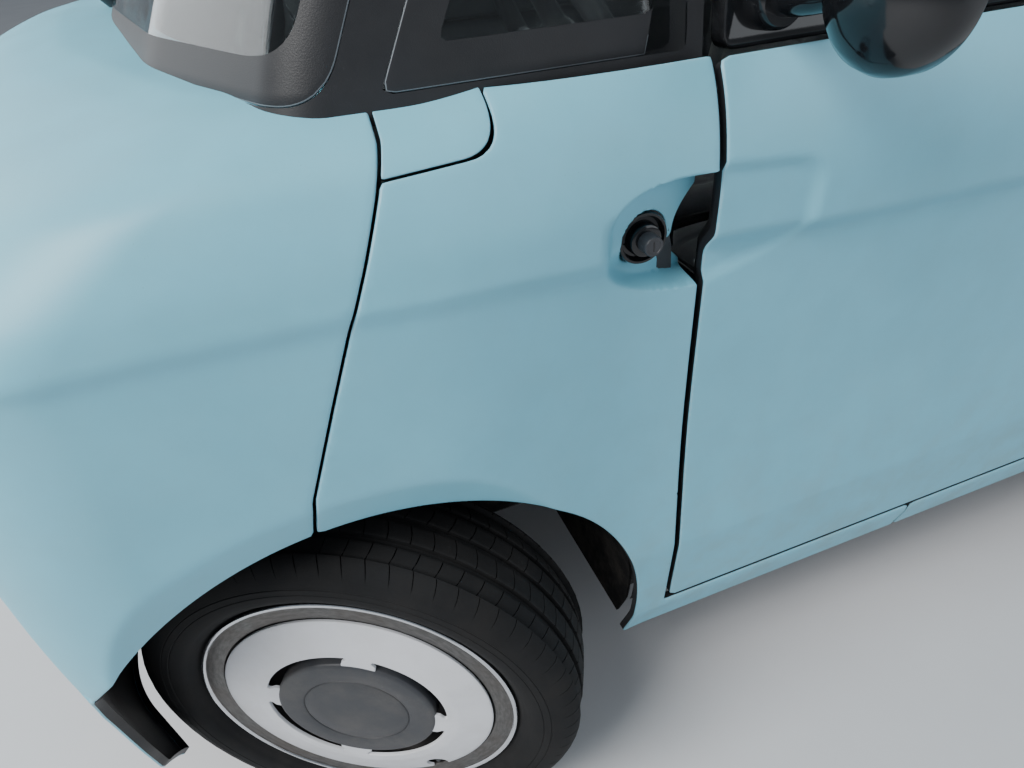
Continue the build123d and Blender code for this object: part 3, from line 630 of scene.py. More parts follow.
@dataclass(frozen=True)
class CabinForm(Form):
    """Glass and pillars above the belt.

    Each row holds height, half the width, and where side, shoulder and middle of the
    front stand ahead of the car's middle.
    """

    rows: tuple = ((930, 634, 838, 942, 998), (1150, 612, 752, 826, 872), (1340, 580, 648, 706, 742),
                   (1440, 552, 566, 612, 640), (1492, 505, 500, 540, 566), (1520, 410, 400, 436, 456),
                   (1530, 290, 280, 306, 320), (1532, 150, 140, 156, 166), (1532.5, 30, 28, 31, 33))
    step: float = 3.0

    def __post_init__(self) -> None:
        """Work out the table of points that everything else is read from."""
        values = np.array(self.rows, float)
        knots = running(np.hypot(np.diff(values[:, 0]), np.diff(values[:, 1])))
        ups = span(0, knots[-1], self.step)
        z, y, side_x, shoulder_x, middle_x = hermite(knots, values, ups).T
        zero = np.zeros_like(z)
        slim = np.minimum(1.0, y / 290)
        y = np.maximum(y, 1.0)
        shoulder_y = (y - 14 * slim) * 0.64
        corners = np.stack([np.stack(pair, 1) for pair in (
            (zero, y), (side_x * 0.55, y), (side_x, y - 14 * slim), (shoulder_x, shoulder_y),
            (middle_x, shoulder_y * 0.3), (middle_x, zero))], 1)
        radii = np.stack([480 * slim, 60 * slim, 250 * slim, 0.2 * shoulder_y ** 2 / (middle_x - shoulder_x)], 1)
        self.keep(z, ups, rounded_line(corners, radii, self.step), int(np.searchsorted(z, 1150)))


BODY = BodyForm()
CABIN = CabinForm()


def seam_x(z: Array) -> Array:
    """Where the line between nose and corner panel stands at a height."""
    return np.interp(z, [590, 655, 743, 825, 900, 930, 1000], [897, 886, 850, 815, 780, 768, 760])


def arch_distance(p: Array) -> Array:
    """Distance of points from the wheel's axis, seen from the side."""
    return np.hypot(np.abs(p[..., 0]) - AXLE_X, p[..., 2] - AXLE_Z)


def flared(p: Array) -> Array:
    """Points drawn in towards the wheel opening, by a straight chamfer with a soft crease."""
    r = arch_distance(p)
    lip = ARCH_LIP_Y + (r - ARCH_RADIUS) * (HALF_W - ARCH_LIP_Y) / (ARCH_CREASE - ARCH_RADIUS)
    y = np.abs(p[..., 1])
    low = soft_min(y, lip, 1.6)
    near = (r < ARCH_CREASE + 40) & (y > 480)
    return shift_along(p, 1, np.where(near, np.sign(p[..., 1]) * low - p[..., 1], 0.0))


def settled(p: Array) -> Array:
    """Points of the top edge lowered towards the corners, to the line of the windscreen's foot."""
    y = np.abs(p[..., 1])
    drop = np.interp(y, [0, 120, 280, 400, 490, 570, 620, 700], [0, 2, 10, 15, 19, 18, 16, 16])
    share = smoothstep(905.0, 966.0, p[..., 2]) * smoothstep(560.0, 740.0, np.abs(p[..., 0]))
    return shift_along(p, 2, -drop * share)


def scoop_depth(p: Array) -> Array:
    """Depth of the finger recess: deepest at the door's edge, with a round far end."""
    x, z = p[..., 0] - DOOR_EDGE, p[..., 2]
    middle = 805 + 0.08 * x
    q = (np.abs(x) / 110) ** 2.6 + (np.abs(z - middle) / 57) ** 2.6
    floor = 36 - 0.2 * np.clip(x, 0, 110)
    return floor * smoothstep(-0.05, 0.30, 1 - q)


def relief_depth(p: Array) -> Array:
    """Depth of the shallow pad that carries the recess on across the door's edge."""
    x, z = p[..., 0], p[..., 2]
    tilt = (x - 376) / 105
    top = 856 + 10 * tilt
    low = 789 - 40 * np.clip(tilt, 0, 1) ** 0.6
    d = soft_min(soft_min(top - z, (x - 374) * 0.8, 26.0), (z - low) * 0.8, 12.0)
    return 6.0 * smoothstep(-3.0, 7.0, d)


def rounded_box(x: Array, z: Array, low: Sequence[float], high: Sequence[float], radius: float) -> Array:
    """Signed distance from a rectangle with round corners."""
    cx, cz = (low[0] + high[0]) / 2, (low[1] + high[1]) / 2
    qx = np.abs(x - cx) - (high[0] - low[0]) / 2 + radius
    qz = np.abs(z - cz) - (high[1] - low[1]) / 2 + radius
    return np.hypot(np.maximum(qx, 0), np.maximum(qz, 0)) + np.minimum(np.maximum(qx, qz), 0) - radius


def polygon_distance(x: Array, z: Array, corners: Outline, radius: float) -> Array:
    """Signed distance from a convex outline, as the greatest distance past its sides, corners rounded."""
    pts = np.array(corners, float)
    area = np.sum(pts[:, 0] * np.roll(pts[:, 1], -1) - np.roll(pts[:, 0], -1) * pts[:, 1])
    if area < 0:
        pts = pts[::-1]
    total = None
    for (x0, z0), (x1, z1) in zip(pts, np.roll(pts, -1, axis=0)):
        size = math.hypot(x1 - x0, z1 - z0)
        d = ((x - x0) * (z1 - z0) - (z - z0) * (x1 - x0)) / size
        total = d if total is None else soft_max(total, d, radius)
    return total


# ---------------------------------------------------------------- finishes


class Sheet:
    """A material or node group being filled with nodes."""

    def __init__(self, tree: Tree) -> None:
        """Start on an empty tree."""
        self.tree = tree
        tree.nodes.clear()

    def feed(self, socket: Socket, value: object) -> None:
        """Give an input its value, or a link where the value is another node's output."""
        if isinstance(value, Socket):
            self.tree.links.new(value, socket)
        else:
            socket.default_value = value

    def fill(self, node: bpy.types.Node, **inputs: object) -> bpy.types.Node:
        """Feed a node's inputs by name, spaces written as _, or by number as in0."""
        for key, value in inputs.items():
            name = key.replace("_", " ")
            self.feed(node.inputs[int(name[2:]) if name[2:].isdigit() else name], value)
        return node

    def node(self, kind: str, settings: dict | None = None, **inputs: object) -> bpy.types.Node:
        """Add a node of a kind, Blender's name without its leading word, with properties and inputs."""
        made = self.tree.nodes.new("ShaderNode" + kind)
        for key, value in (settings or {}).items():
            setattr(made, key, value)
        return self.fill(made, **inputs)

    def maths(self, how: str, a: object, b: object = 0.0, clamp: bool = False) -> Socket:
        """Result of one sum on two numbers."""
        return self.node("Math", {"operation": how, "use_clamp": clamp}, in0=a, in1=b).outputs[0]

    def times(self, a: object, b: object) -> Socket:
        """Product of two numbers."""
        return self.maths("MULTIPLY", a, b)

    def plus(self, a: object, b: object, clamp: bool = False) -> Socket:
        """Sum of two numbers."""
        return self.maths("ADD", a, b, clamp)

    def ramp(self, value: object, low: object, high: object, start: float = 0.0, end: float = 1.0) -> Socket:
        """Value carried smoothly from start at low to end at high."""
        return self.node("MapRange", {"interpolation_type": "SMOOTHSTEP"}, Value=value, From_Min=low, From_Max=high,
                         To_Min=start, To_Max=end).outputs["Result"]

    def blend(self, share: object, a: object, b: object) -> Socket:
        """Triple between two colours."""
        return self.node("Mix", {"data_type": "RGBA", "blend_type": "MIX"}, in0=share, in6=a, in7=b).outputs[2]

    def tint(self, share: object, colour: Triple, low: float, high: float) -> Socket:
        """A colour whose gain goes from low to high with a share."""
        return self.blend(share, rgba(colour, low), rgba(colour, high))

    def noise(self, vector: object, size: float, detail: float = 3.0, rough: float = 0.5) -> Socket:
        """Soft random value whose patches are about size metres across."""
        return self.node("TexNoise", None, Vector=vector, Scale=1.0 / size, Detail=detail,
                         Roughness=rough).outputs["Fac"]

    def place(self, kind: str = "Object") -> Socket:
        """Object coordinates, or the piece's own surface coordinates as kind UV."""
        return self.node("TexCoord").outputs[kind]

    def group(self, tree: Tree, **inputs: object) -> bpy.types.bpy_prop_collection:
        """Place a node group with its values, and give its outputs."""
        made = self.tree.nodes.new("ShaderNodeGroup")
        made.node_tree = tree
        return self.fill(made, **inputs).outputs

    def bump(self, height: object, strength: float, depth: float) -> Socket:
        """Normal from a height, depth metres tall at full strength."""
        return self.node("Bump", None, Height=height, Strength=strength, Distance=depth).outputs["Normal"]


def new_group(name: str, inputs: dict[str, float | None], outputs: Sequence[str]) -> tuple:
    """An empty node group with its sockets.

    Args:
        name: Name of the group.
        inputs: Number of each input, or None for a vector.
        outputs: Names of its outputs, all numbers.

    Returns:
        Its sheet, the sockets that its inputs come from, and its output node.
    """
    tree = bpy.data.node_groups.new(name, "ShaderNodeTree")
    for label, value in inputs.items():
        kind = "NodeSocketVector" if value is None else "NodeSocketFloat"
        socket = tree.interface.new_socket(label, in_out="INPUT", socket_type=kind)
        if value is not None:
            socket.default_value = value
    for label in outputs:
        tree.interface.new_socket(label, in_out="OUTPUT", socket_type="NodeSocketFloat")
    sheet = Sheet(tree)
    return sheet, tree.nodes.new("NodeGroupInput").outputs, tree.nodes.new("NodeGroupOutput")


@cache
def grain_group() -> Tree:
    """Moulded grain: small rounded cells over a finer noise, with a slow change of tone."""
    sheet, given, out = new_group("moulded_grain", {"Place": None, "Cells": 900.0, "Mottle": 9.0}, ("Height", "Tone"))
    place, size = given["Place"], given["Cells"]
    cells = sheet.node("TexVoronoi", {"feature": "SMOOTH_F1"}, Vector=place, Scale=size).outputs["Distance"]
    fine = sheet.node("TexNoise", None, Vector=place, Scale=sheet.times(size, 1.7), Detail=2.0).outputs["Fac"]
    slow = sheet.node("TexNoise", None, Vector=place, Scale=given["Mottle"], Detail=5.0, Roughness=0.62).outputs["Fac"]
    sheet.fill(out, Height=sheet.plus(sheet.times(cells, 0.6), sheet.times(fine, 0.5)), Tone=slow)
    return sheet.tree


@cache
def dust_group() -> Tree:
    """Road dust: thick low down and patchy, thinning with height, with fine specks."""
    sheet, given, out = new_group("road_dust", {"Place": None, "Low": 0.2, "High": 0.8, "Amount": 0.5},
                                  ("Mask", "Specks"))
    place, amount = given["Place"], given["Amount"]
    height = sheet.node("SeparateXYZ", None, Vector=place).outputs["Z"]
    fall = sheet.ramp(height, given["Low"], given["High"], 1.0, 0.12)
    patch = sheet.ramp(sheet.noise(place, 0.06, 6.0, 0.65), 0.36, 0.72)
    cells = sheet.node("TexVoronoi", {"feature": "F1"}, Vector=place, Scale=170.0).outputs["Distance"]
    speck, rare = sheet.ramp(cells, 0.07, 0.04), sheet.ramp(sheet.noise(place, 0.03, 2.0), 0.55, 0.63)
    sheet.fill(out, Mask=sheet.times(sheet.times(fall, patch), amount),
               Specks=sheet.times(sheet.times(speck, rare), amount))
    return sheet.tree


@cache
def wear_group() -> Tree:
    """Wear beside an edge: a broken band as wide as Width, from the distance to the edge."""
    sheet, given, out = new_group("edge_wear", {"Place": None, "Rim": 1.0, "Width": 0.004}, ("Mask",))
    share = sheet.maths("DIVIDE", given["Rim"], given["Width"])
    broken = sheet.ramp(sheet.noise(given["Place"], 0.008, 5.0, 0.6), 0.35, 0.65, 0.0, 1.2)
    sheet.fill(out, Mask=sheet.ramp(sheet.plus(share, broken), 0.3, 1.4, 1.0, 0.0))
    return sheet.tree


@cache
def scratch_group() -> Tree:
    """Fine scuffs: thin lines where a stretched noise crosses its middle value."""
    sheet, given, out = new_group("fine_scuffs", {"Place": None, "Amount": 0.5}, ("Mask",))
    lines = []
    for turn, stretch in ((0.6, 26.0), (-0.9, 34.0)):
        bent = sheet.node("Mapping", None, Vector=given["Place"], Rotation=(turn, turn * 0.5, turn),
                          Scale=(stretch, 1.6, stretch)).outputs["Vector"]
        value = sheet.node("TexNoise", None, Vector=bent, Scale=3.0, Detail=2.0).outputs["Fac"]
        lines.append(sheet.ramp(sheet.maths("ABSOLUTE", sheet.maths("SUBTRACT", value, 0.5)), 0.004, 0.0015))
    some = sheet.ramp(sheet.noise(given["Place"], 0.12, 2.0), 0.56, 0.7)
    sheet.fill(out, Mask=sheet.times(sheet.maths("MAXIMUM", *lines), sheet.times(some, given["Amount"])))
    return sheet.tree


@cache
def weave_group() -> Tree:
    """Plain weave: warp and weft threads as two crossed waves, one over the other by turns."""
    sheet, given, out = new_group("plain_weave", {"Place": None, "Pitch": 0.0016}, ("Height", "Over"))
    split = sheet.node("SeparateXYZ", None, Vector=given["Place"]).outputs
    u, v = (sheet.times(sheet.maths("DIVIDE", split[axis], given["Pitch"]), math.pi) for axis in "XY")
    over = sheet.ramp(sheet.times(sheet.maths("SINE", u), sheet.maths("SINE", v)), -0.15, 0.15)
    warp, weft = (sheet.maths("ABSOLUTE", sheet.maths("COSINE", w)) for w in (u, v))
    height = sheet.plus(sheet.times(warp, over), sheet.times(weft, sheet.maths("SUBTRACT", 1.0, over)))
    sheet.fill(out, Height=height, Over=over)
    return sheet.tree


@cache
def brushed_group() -> Tree:
    """Turned or brushed metal: a noise drawn out along one surface direction."""
    sheet, given, out = new_group("brushed", {"Flat": None, "Along": 4.0, "Across": 900.0}, ("Value",))
    split = sheet.node("SeparateXYZ", None, Vector=given["Flat"]).outputs
    joined = sheet.node("CombineXYZ", None, X=sheet.times(split["X"], given["Across"]),
                        Y=sheet.times(split["Y"], given["Along"])).outputs[0]
    fine = sheet.node("TexNoise", None, Vector=joined, Scale=1.0, Detail=3.0, Roughness=0.7)
    sheet.fill(out, Value=fine.outputs["Fac"])
    return sheet.tree


def rgba(colour: Triple, gain: float = 1.0) -> tuple[float, float, float, float]:
    """A colour made lighter or darker, with full alpha."""
    return (*(c * gain for c in colour), 1.0)


def start(name: str) -> tuple[bpy.types.Material, Sheet, bpy.types.Node]:
    """A material with its Principled shader joined to the output."""
    made = bpy.data.materials.new(name)
    made.use_nodes = True
    sheet = Sheet(made.node_tree)
    shader = sheet.node("BsdfPrincipled")
    sheet.node("OutputMaterial", None, Surface=shader.outputs[0])
    return made, sheet, shader


@dataclass(frozen=True)
class Finish:
    """What every finish has: the name and the main colour of its material."""

    name: str
    colour: Triple


@dataclass(frozen=True)
class Moulded(Finish):
    """A plastic or painted skin with grain, dust, wear by its edges and fine scuffs."""

    roughness: float = 0.5
    mottle: float = 0.06
    grain_cells: float = 900.0
    grain_depth: float = 0.00010
    dust: float = 0.35
    dust_high: float = 0.7
    dust_colour: Triple = (0.30, 0.27, 0.23)
    wear: float = 0.25
    wear_width: float = 0.003
    scuffs: float = 0.15
    specular: float = 0.5

    def material(self) -> bpy.types.Material:
        """Build the material."""
        made, sheet, shader = start(self.name)
        place = sheet.place()
        grain = sheet.group(grain_group(), Place=place, Cells=self.grain_cells)
        dust = sheet.group(dust_group(), Place=place, Low=0.12, High=self.dust_high, Amount=self.dust)
        rim = sheet.node("Attribute", {"attribute_name": "rim"}).outputs["Fac"]
        wear = sheet.group(wear_group(), Place=place, Rim=rim, Width=self.wear_width)
        scuff = sheet.group(scratch_group(), Place=place, Amount=self.scuffs)
        colour = sheet.tint(sheet.ramp(grain["Tone"], 0.3, 0.7), self.colour, 1 - self.mottle, 1 + self.mottle)
        pale = tuple(min(1.0, c * 0.6 + 0.28) for c in self.colour)
        for share, other in ((sheet.times(wear["Mask"], self.wear), pale), (scuff["Mask"], pale),
                             (dust["Mask"], self.dust_colour), (dust["Specks"], (0.05, 0.05, 0.05))):
            colour = sheet.blend(share, colour, rgba(other))
        rough = sheet.plus(self.roughness - 0.06, sheet.times(grain["Tone"], 0.12))
        rough = sheet.plus(rough, sheet.times(dust["Mask"], 0.35), clamp=True)
        sheet.fill(shader, Base_Color=colour, Roughness=rough, Specular_IOR_Level=self.specular,
                   Normal=sheet.bump(grain["Height"], 1.0, self.grain_depth))
        return made


@dataclass(frozen=True)
class Metal(Finish):
    """Turned, brushed or polished metal, its lines along the surface's second direction."""

    roughness: float = 0.3
    lines: float = 0.10
    across: float = 900.0
    along: float = 6.0
    depth: float = 0.00004
    dust: float = 0.2
    metallic: float = 1.0

    def material(self) -> bpy.types.Material:
        """Build the material."""
        made, sheet, shader = start(self.name)
        place = sheet.place()
        lined = sheet.group(brushed_group(), Flat=sheet.place("UV"), Along=self.along, Across=self.across)["Value"]
        dust = sheet.group(dust_group(), Place=place, Low=0.05, High=0.9, Amount=self.dust)["Mask"]
        colour = sheet.tint(sheet.ramp(lined, 0.3, 0.7), self.colour, 1 - self.lines, 1 + self.lines)
        rough = sheet.plus(self.roughness - 0.05, sheet.times(lined, 0.12))
        sheet.fill(shader, Base_Color=sheet.blend(dust, colour, (0.16, 0.13, 0.11, 1)), Metallic=self.metallic,
                   Roughness=sheet.plus(rough, sheet.times(dust, 0.4), clamp=True),
                   Normal=sheet.bump(lined, 0.6, self.depth))
        return made


@dataclass(frozen=True)
class Woven(Finish):
    """Cloth with a plain weave over its own surface coordinates, sheen and faded patches."""

    pitch: float = 0.0018

    def material(self) -> bpy.types.Material:
        """Build the material."""
        made, sheet, shader = start(self.name)
        place = sheet.place()
        weave = sheet.group(weave_group(), Place=sheet.place("UV"), Pitch=self.pitch)
        tone = sheet.ramp(sheet.noise(place, 0.05, 5.0, 0.6), 0.35, 0.7)
        light, dark = sheet.tint(tone, self.colour, 1.05, 1.45), sheet.tint(tone, self.colour, 0.5, 0.7)
        sheet.fill(shader, Base_Color=sheet.blend(weave["Over"], dark, light), Roughness=0.88, Sheen_Weight=0.25,
                   Normal=sheet.bump(weave["Height"], 0.7, 0.0004))
        return made


@dataclass(frozen=True)
class Clear(Finish):
    """Glass or a clear lens, faintly dusty, with a tint in its thickness."""

    roughness: float = 0.03

    def material(self) -> bpy.types.Material:
        """Build the material."""
        made, sheet, shader = start(self.name)
        film = sheet.ramp(sheet.noise(sheet.place(), 0.05, 6.0, 0.65), 0.45, 0.8, 0.0, 0.16)
        sheet.fill(shader, Base_Color=sheet.tint(film, self.colour, 1.0, 0.86), IOR=1.45, Transmission_Weight=1.0,
                   Roughness=sheet.plus(self.roughness, film))
        return made


@cache
def material_of(finish: Finish) -> bpy.types.Material:
    """The material of a finish, made once."""
    return finish.material()


# Base colour: the mint paint as it looks in blue skylight shade, made deeper; partly the paint's own colour, partly
# painted shade.
PAINT = Moulded("aqua_paint_sky_shaded", (0.185, 0.505, 0.640), roughness=0.46, mottle=0.035, grain_cells=1300.0,
                grain_depth=0.00006, dust=0.30, dust_high=0.62, wear=0.3, wear_width=0.0022, scuffs=0.10)
# Black of the mouldings, pillars and printed borders; on the panel flanges it is painted shade in the gaps.
BLACK_AND_GAP_SHADE = Moulded("black_moulding_and_gap_shade", (0.014, 0.015, 0.018), roughness=0.46, mottle=0.18, grain_depth=0.00014, dust=0.08,
                wear=0.0, scuffs=0.03)
TRIM = Moulded("dark_trim", (0.030, 0.031, 0.034), roughness=0.42, mottle=0.2, grain_cells=700.0, grain_depth=0.00012,
               dust=0.12, wear=0.1)
GLOSS = Moulded("gloss_black", (0.008, 0.009, 0.011), roughness=0.10, mottle=0.1, grain_cells=400.0,
                grain_depth=0.000006, dust=0.05, wear=0.02, scuffs=0.03)
LINER = Moulded("felt_liner", (0.010, 0.010, 0.011), roughness=0.94, mottle=0.30, grain_cells=500.0,
                grain_depth=0.0005, dust=0.16, wear=0.0, scuffs=0.0, specular=0.15)
COVER = Moulded("wheel_cover", (0.66, 0.68, 0.72), roughness=0.34, mottle=0.03, grain_cells=1500.0,
                grain_depth=0.00003, dust=0.18, dust_high=0.7, scuffs=0.12)
CAP = Moulded("wheel_cap", (0.030, 0.033, 0.040), roughness=0.50, mottle=0.12, grain_cells=1800.0,
              grain_depth=0.00010, dust=0.16)
# Near-black rubber, darkened further: partly the rubber's own colour, partly painted shade in the wheel arch.
RUBBER = Moulded("tyre_rubber", (0.009, 0.0095, 0.0105), roughness=0.78, mottle=0.22, grain_cells=650.0,
                 grain_depth=0.00016, dust=0.20, dust_high=0.9, dust_colour=(0.05, 0.045, 0.04), specular=0.22,
                 wear=0.0, scuffs=0.04)
SEAL = Moulded("window_edge", (0.16, 0.18, 0.20), roughness=0.4, mottle=0.1, dust=0.1, wear=0.0, scuffs=0.0)
STEEL = Moulded("chassis_paint", (0.018, 0.018, 0.019), roughness=0.4, mottle=0.3, grain_cells=300.0,
                grain_depth=0.00025, dust=0.55, dust_high=0.9)
SHELL = Moulded("seat_shell", (0.05, 0.052, 0.057), roughness=0.5, mottle=0.12, grain_depth=0.0002, dust=0.1)
DASH = Moulded("dash_moulding", (0.040, 0.043, 0.048), roughness=0.58, mottle=0.12, grain_cells=800.0,
               grain_depth=0.0003, dust=0.10, wear=0.0)
CARPET = Moulded("floor_mat", (0.020, 0.021, 0.023), roughness=0.95, mottle=0.3, grain_cells=420.0,
                 grain_depth=0.0009, dust=0.25, specular=0.2)
HOUSING = Metal("cast_housing", (0.42, 0.43, 0.44), roughness=0.5, lines=0.18, across=160.0, along=160.0,
                depth=0.0003, dust=0.5)
RING = Metal("wheel_ring", (0.13, 0.128, 0.125), roughness=0.42, lines=0.26, across=260.0, along=60.0, depth=0.0003,
             dust=0.35)
LIP = Metal("polished_lip", (0.62, 0.64, 0.67), roughness=0.16, lines=0.06, dust=0.1)
DISC = Metal("wheel_disc", (0.05, 0.05, 0.052), roughness=0.5, lines=0.2, dust=0.4, metallic=0.6)
CHROME = Metal("bright_metal", (0.75, 0.76, 0.78), roughness=0.08, lines=0.02, dust=0.05)
CLOTH = Woven("seat_cloth", (0.050, 0.054, 0.062))
GLASS = Clear("tinted_glass", (0.62, 0.68, 0.69))
LENS = Clear("lamp_lens", (0.97, 0.98, 0.99), roughness=0.015)
RED = Clear("tail_lens", (0.75, 0.03, 0.03), roughness=0.05)
AMBER = Clear("turn_lens", (0.95, 0.36, 0.03), roughness=0.05)


# ---------------------------------------------------------------- painted panels


class Corner(Enum):
    """The four corners of the car, as the images of the front left one."""

    FRONT_LEFT = ()
    FRONT_RIGHT = (1,)
    REAR_LEFT = (0,)
    REAR_RIGHT = (0, 1)

    @property
    def label(self) -> str:
        """Name in lower case, as nodes and bodies use it."""
        return self.name.lower()


LOCKED = (Corner.FRONT_LEFT, Corner.REAR_RIGHT)
ENDS = (("front", ()), ("rear", (0, 1)))
DOORS = (("left", ()), ("right", (0, 1)))


@dataclass
class Panel:
    """A painted panel: a trimmed part of the body form with rolled edges."""

    roll: float = 2.2
    flange: float = 11.0
    seam: float = 1.5

    def skin(self, s: Array, up: Array, outline: Field, detail: Field) -> list[Patch]:
        """A panel's outer face with its rolled edge and black flange, the flange's black being painted shade in the
        gaps, and its dark inner face.

        Args:
            s: Way round the plan outline.
            up: Way up the body.
            outline: Signed distance from the panel's outline.
            detail: Changes points of the plain form into the panel's own.

        Returns:
            The outer patch and the inner one.
        """
        made = trimmed_patch(lambda a, b: detail(BODY.base(a, b)), s, up, outline, edge=self.roll)
        made = made.faced_from((0, 0, 500))
        # flange=1 paints each flange black: painted shade in the gaps and openings, where the real flanges are body
        # colour.
        return [rolled_edge(made, self.roll, self.flange, 3, flange=1), backed(made, 3.0, 1)]


@dataclass
class CornerPanels(Panel):
    """The four panels between doors and ends, each with its length of sill."""

    step: float = 5.0
    lid: tuple = ((840, 1030), (840, 906), (681, 913), (681, 1030))
    lock: Triple = (547.0, 805.0, 25.0)

    def outline(self, sill_from: float, lidded: bool) -> Field:
        """Outline of the corner panel with its sill, seen from the side, less lid and finger slot."""

        def distance(p: Array) -> Array:
            x, z = p[..., 0], p[..., 2]
            seam = (x - seam_x(z) + self.seam) * 0.97
            edge = DOOR_EDGE - x
            if lidded:
                edge = np.maximum(edge, self.slot_distance(p))
                seam = np.maximum(seam, self.seam - self.lid_distance(p))
            arch = ARCH_RADIUS - arch_distance(p)
            main = highest(edge, seam, arch, z - BELT)
            return np.minimum(main, highest(sill_from - x, z - SILL_TOP, x - 560, arch))

        return distance

    def lid_distance(self, p: Array) -> Array:
        """Distance from the lid's outline, below zero inside it."""
        return polygon_distance(p[..., 0], p[..., 2], self.lid, 30.0)

    def slot_distance(self, p: Array) -> Array:
        """How far points stand inside the bowed slot that the fingers reach through."""
        x, z = p[..., 0], p[..., 2]
        bow = 24.0 * np.clip(1 - ((z - 802.0) / 42.0) ** 2, 0.0, 1.0)
        return (DOOR_EDGE + bow - x) * 0.8

    def detail(self, scooped: bool) -> Field:
        """Arch chamfer, and on a lock side the recess and the lock's bore."""

        def change(p: Array) -> Array:
            made = settled(flared(p))
            if scooped:
                made = shift_along(made, 1, -scoop_depth(p))
                bore = np.hypot(p[..., 0] - self.lock[0], p[..., 2] - self.lock[1])
                made = shift_along(made, 1, 12 * smoothstep(self.lock[2] - 0.5, self.lock[2] + 2.0, bore) - 12)
            return made

        return change

    def build(self) -> None:
        """Make the four panels with the pieces that sit in them."""
        low, high = BODY.up_at(195), BODY.ups[-1] - 40
        fine_low, fine_high = BODY.up_at(736), BODY.up_at(872)
        up = np.concatenate([span(low, fine_low, self.step)[:-1], span(fine_low, fine_high, 1.8)[:-1],
                             span(fine_high, high, self.step)])
        fine = np.concatenate([span(52, 484, self.step)[:-1], span(484, 612, 1.8)[:-1], span(612, 905, self.step)])
        plans = {True: (57.5, fine), False: (-52.5, span(-58, 905, self.step))}
        for corner in Corner:
            scooped = corner in LOCKED
            start_x, s = plans[scooped]
            skin = self.skin(s, up, self.outline(start_x, scooped), self.detail(scooped))
            name = f"quarter_{corner.label}"
            if scooped:
                self.build_lid(corner)
            Piece(f"skin_{name}", "root", (PAINT, BLACK_AND_GAP_SHADE), "body_panel", [name]).add(
                *skin, axes=corner.value).build(50)
            inner = trimmed_patch(lambda a, b: BODY.base(a, b) - np.array([0, 30.0, 0]), span(492, 760, 12),
                                  span(BODY.up_at(232), BODY.up_at(940), 12),
                                  lambda p: np.maximum(ARCH_RADIUS + 12 - arch_distance(p), p[..., 0] - 748))
            inner = inner.faced_from((600, 2000, 500))
            Piece(f"trim_{name}", "root", (DASH,), "black_plastic").add(inner, axes=corner.value).build(50)
        self.build_locks()

    def build_lid(self, corner: Corner) -> None:
        """Small lid below the quarter glass, set in the panel with an even gap."""
        place = self.outline(0.0, False)
        made = trimmed_patch(lambda a, b: settled(flared(BODY.base(a, b))), span(660, 905, 3.0),
                             span(BODY.up_at(890), BODY.ups[-1] - 40, 3.0),
                             lambda p: np.maximum(place(p), self.lid_distance(p)), edge=1.0)
        # The lid's flange is black: painted shade in the gap round the lid.
        made = rolled_edge(made.faced_from((0, 0, 500)), 1.0, 6.0, 3, flange=1)
        stands = ["corner_lids"] if corner is Corner.FRONT_LEFT else []
        Piece(f"lid_{corner.label}", "root", (PAINT, BLACK_AND_GAP_SHADE), "body_panel", stands).add(
            made, axes=corner.value).build(50)

    def build_locks(self) -> None:
        """Push button, key cylinder and finger hollow of each lock."""
        x, z, r = self.lock
        barrel = [(658, 9.6), (669.5, 9.4), (671, 9.4), (672, 8.8), (672, 7.0), (671.4, 6.6), (671.4, 0.01)]
        ring = [(630, r), (651, r), (652.5, r - 0.8), (652.5, r - 3), (646, r - 5.5), (646, 16.5), (656, 15.8),
                (658, 15), (658.8, 13.4), (658.8, 9.6)]
        button, key = turned_patch(ring, 72, (x, 0, z)), turned_patch(barrel, 48, (x, 0, z)).painted(1)
        slot = block_patch((x - 0.8, 669, z - 4.5), (x + 0.8, 671.7, z + 4.5), 0.3)
        back = np.insert(plane([489.5, 513.0], [768.0, 850.0]), 1, 612.0, axis=-1)
        hollow = grid_patch(back).faced((0, 1, 0))
        for corner in LOCKED:
            stands = ["lock_buttons"] if corner is Corner.FRONT_LEFT else []
            Piece(f"lock_{corner.label}", "root", (GLOSS, CAP), "black_plastic", stands).add(
                button, key, slot, hollow, axes=corner.value).build(35)


def turned_about_y(p: Array, angle: float) -> Array:
    """Points turned about the Y axis, Z towards X."""
    c, s = math.cos(angle), math.sin(angle)
    return np.stack([p[..., 0] * c + p[..., 2] * s, p[..., 1], -p[..., 0] * s + p[..., 2] * c], -1)


def ring_points(radius: Array, lateral: Array, angle: Array) -> Array:
    """Points round the Y axis: (radius·cos angle, lateral, radius·sin angle)."""
    r, y, a = np.broadcast_arrays(radius, lateral, angle)
    return np.stack([r * np.cos(a), y, r * np.sin(a)], -1)


def turned_patch(profile: Outline, count: int, centre: Sequence[float]) -> Patch:
    """A profile of lateral and radius turned round the Y direction through a point."""
    line = np.array(profile, float)
    points = ring_points(line[:, 1:], line[:, :1], circle(count)) + np.array(centre, float)
    along = np.concatenate([[0], np.cumsum(np.hypot(*np.diff(line, axis=0).T))]) * MM
    around = np.linspace(0, 1, count + 1) * 2 * math.pi * line[:, 1].max() * MM
    uv = np.stack(np.meshgrid(along, around, indexing="ij"), -1)
    return grid_patch(points, wrap_cols=True, uv=uv).faced_from(
        (centre[0], centre[1] + line[:, 0].min() - 1e-3, centre[2]))


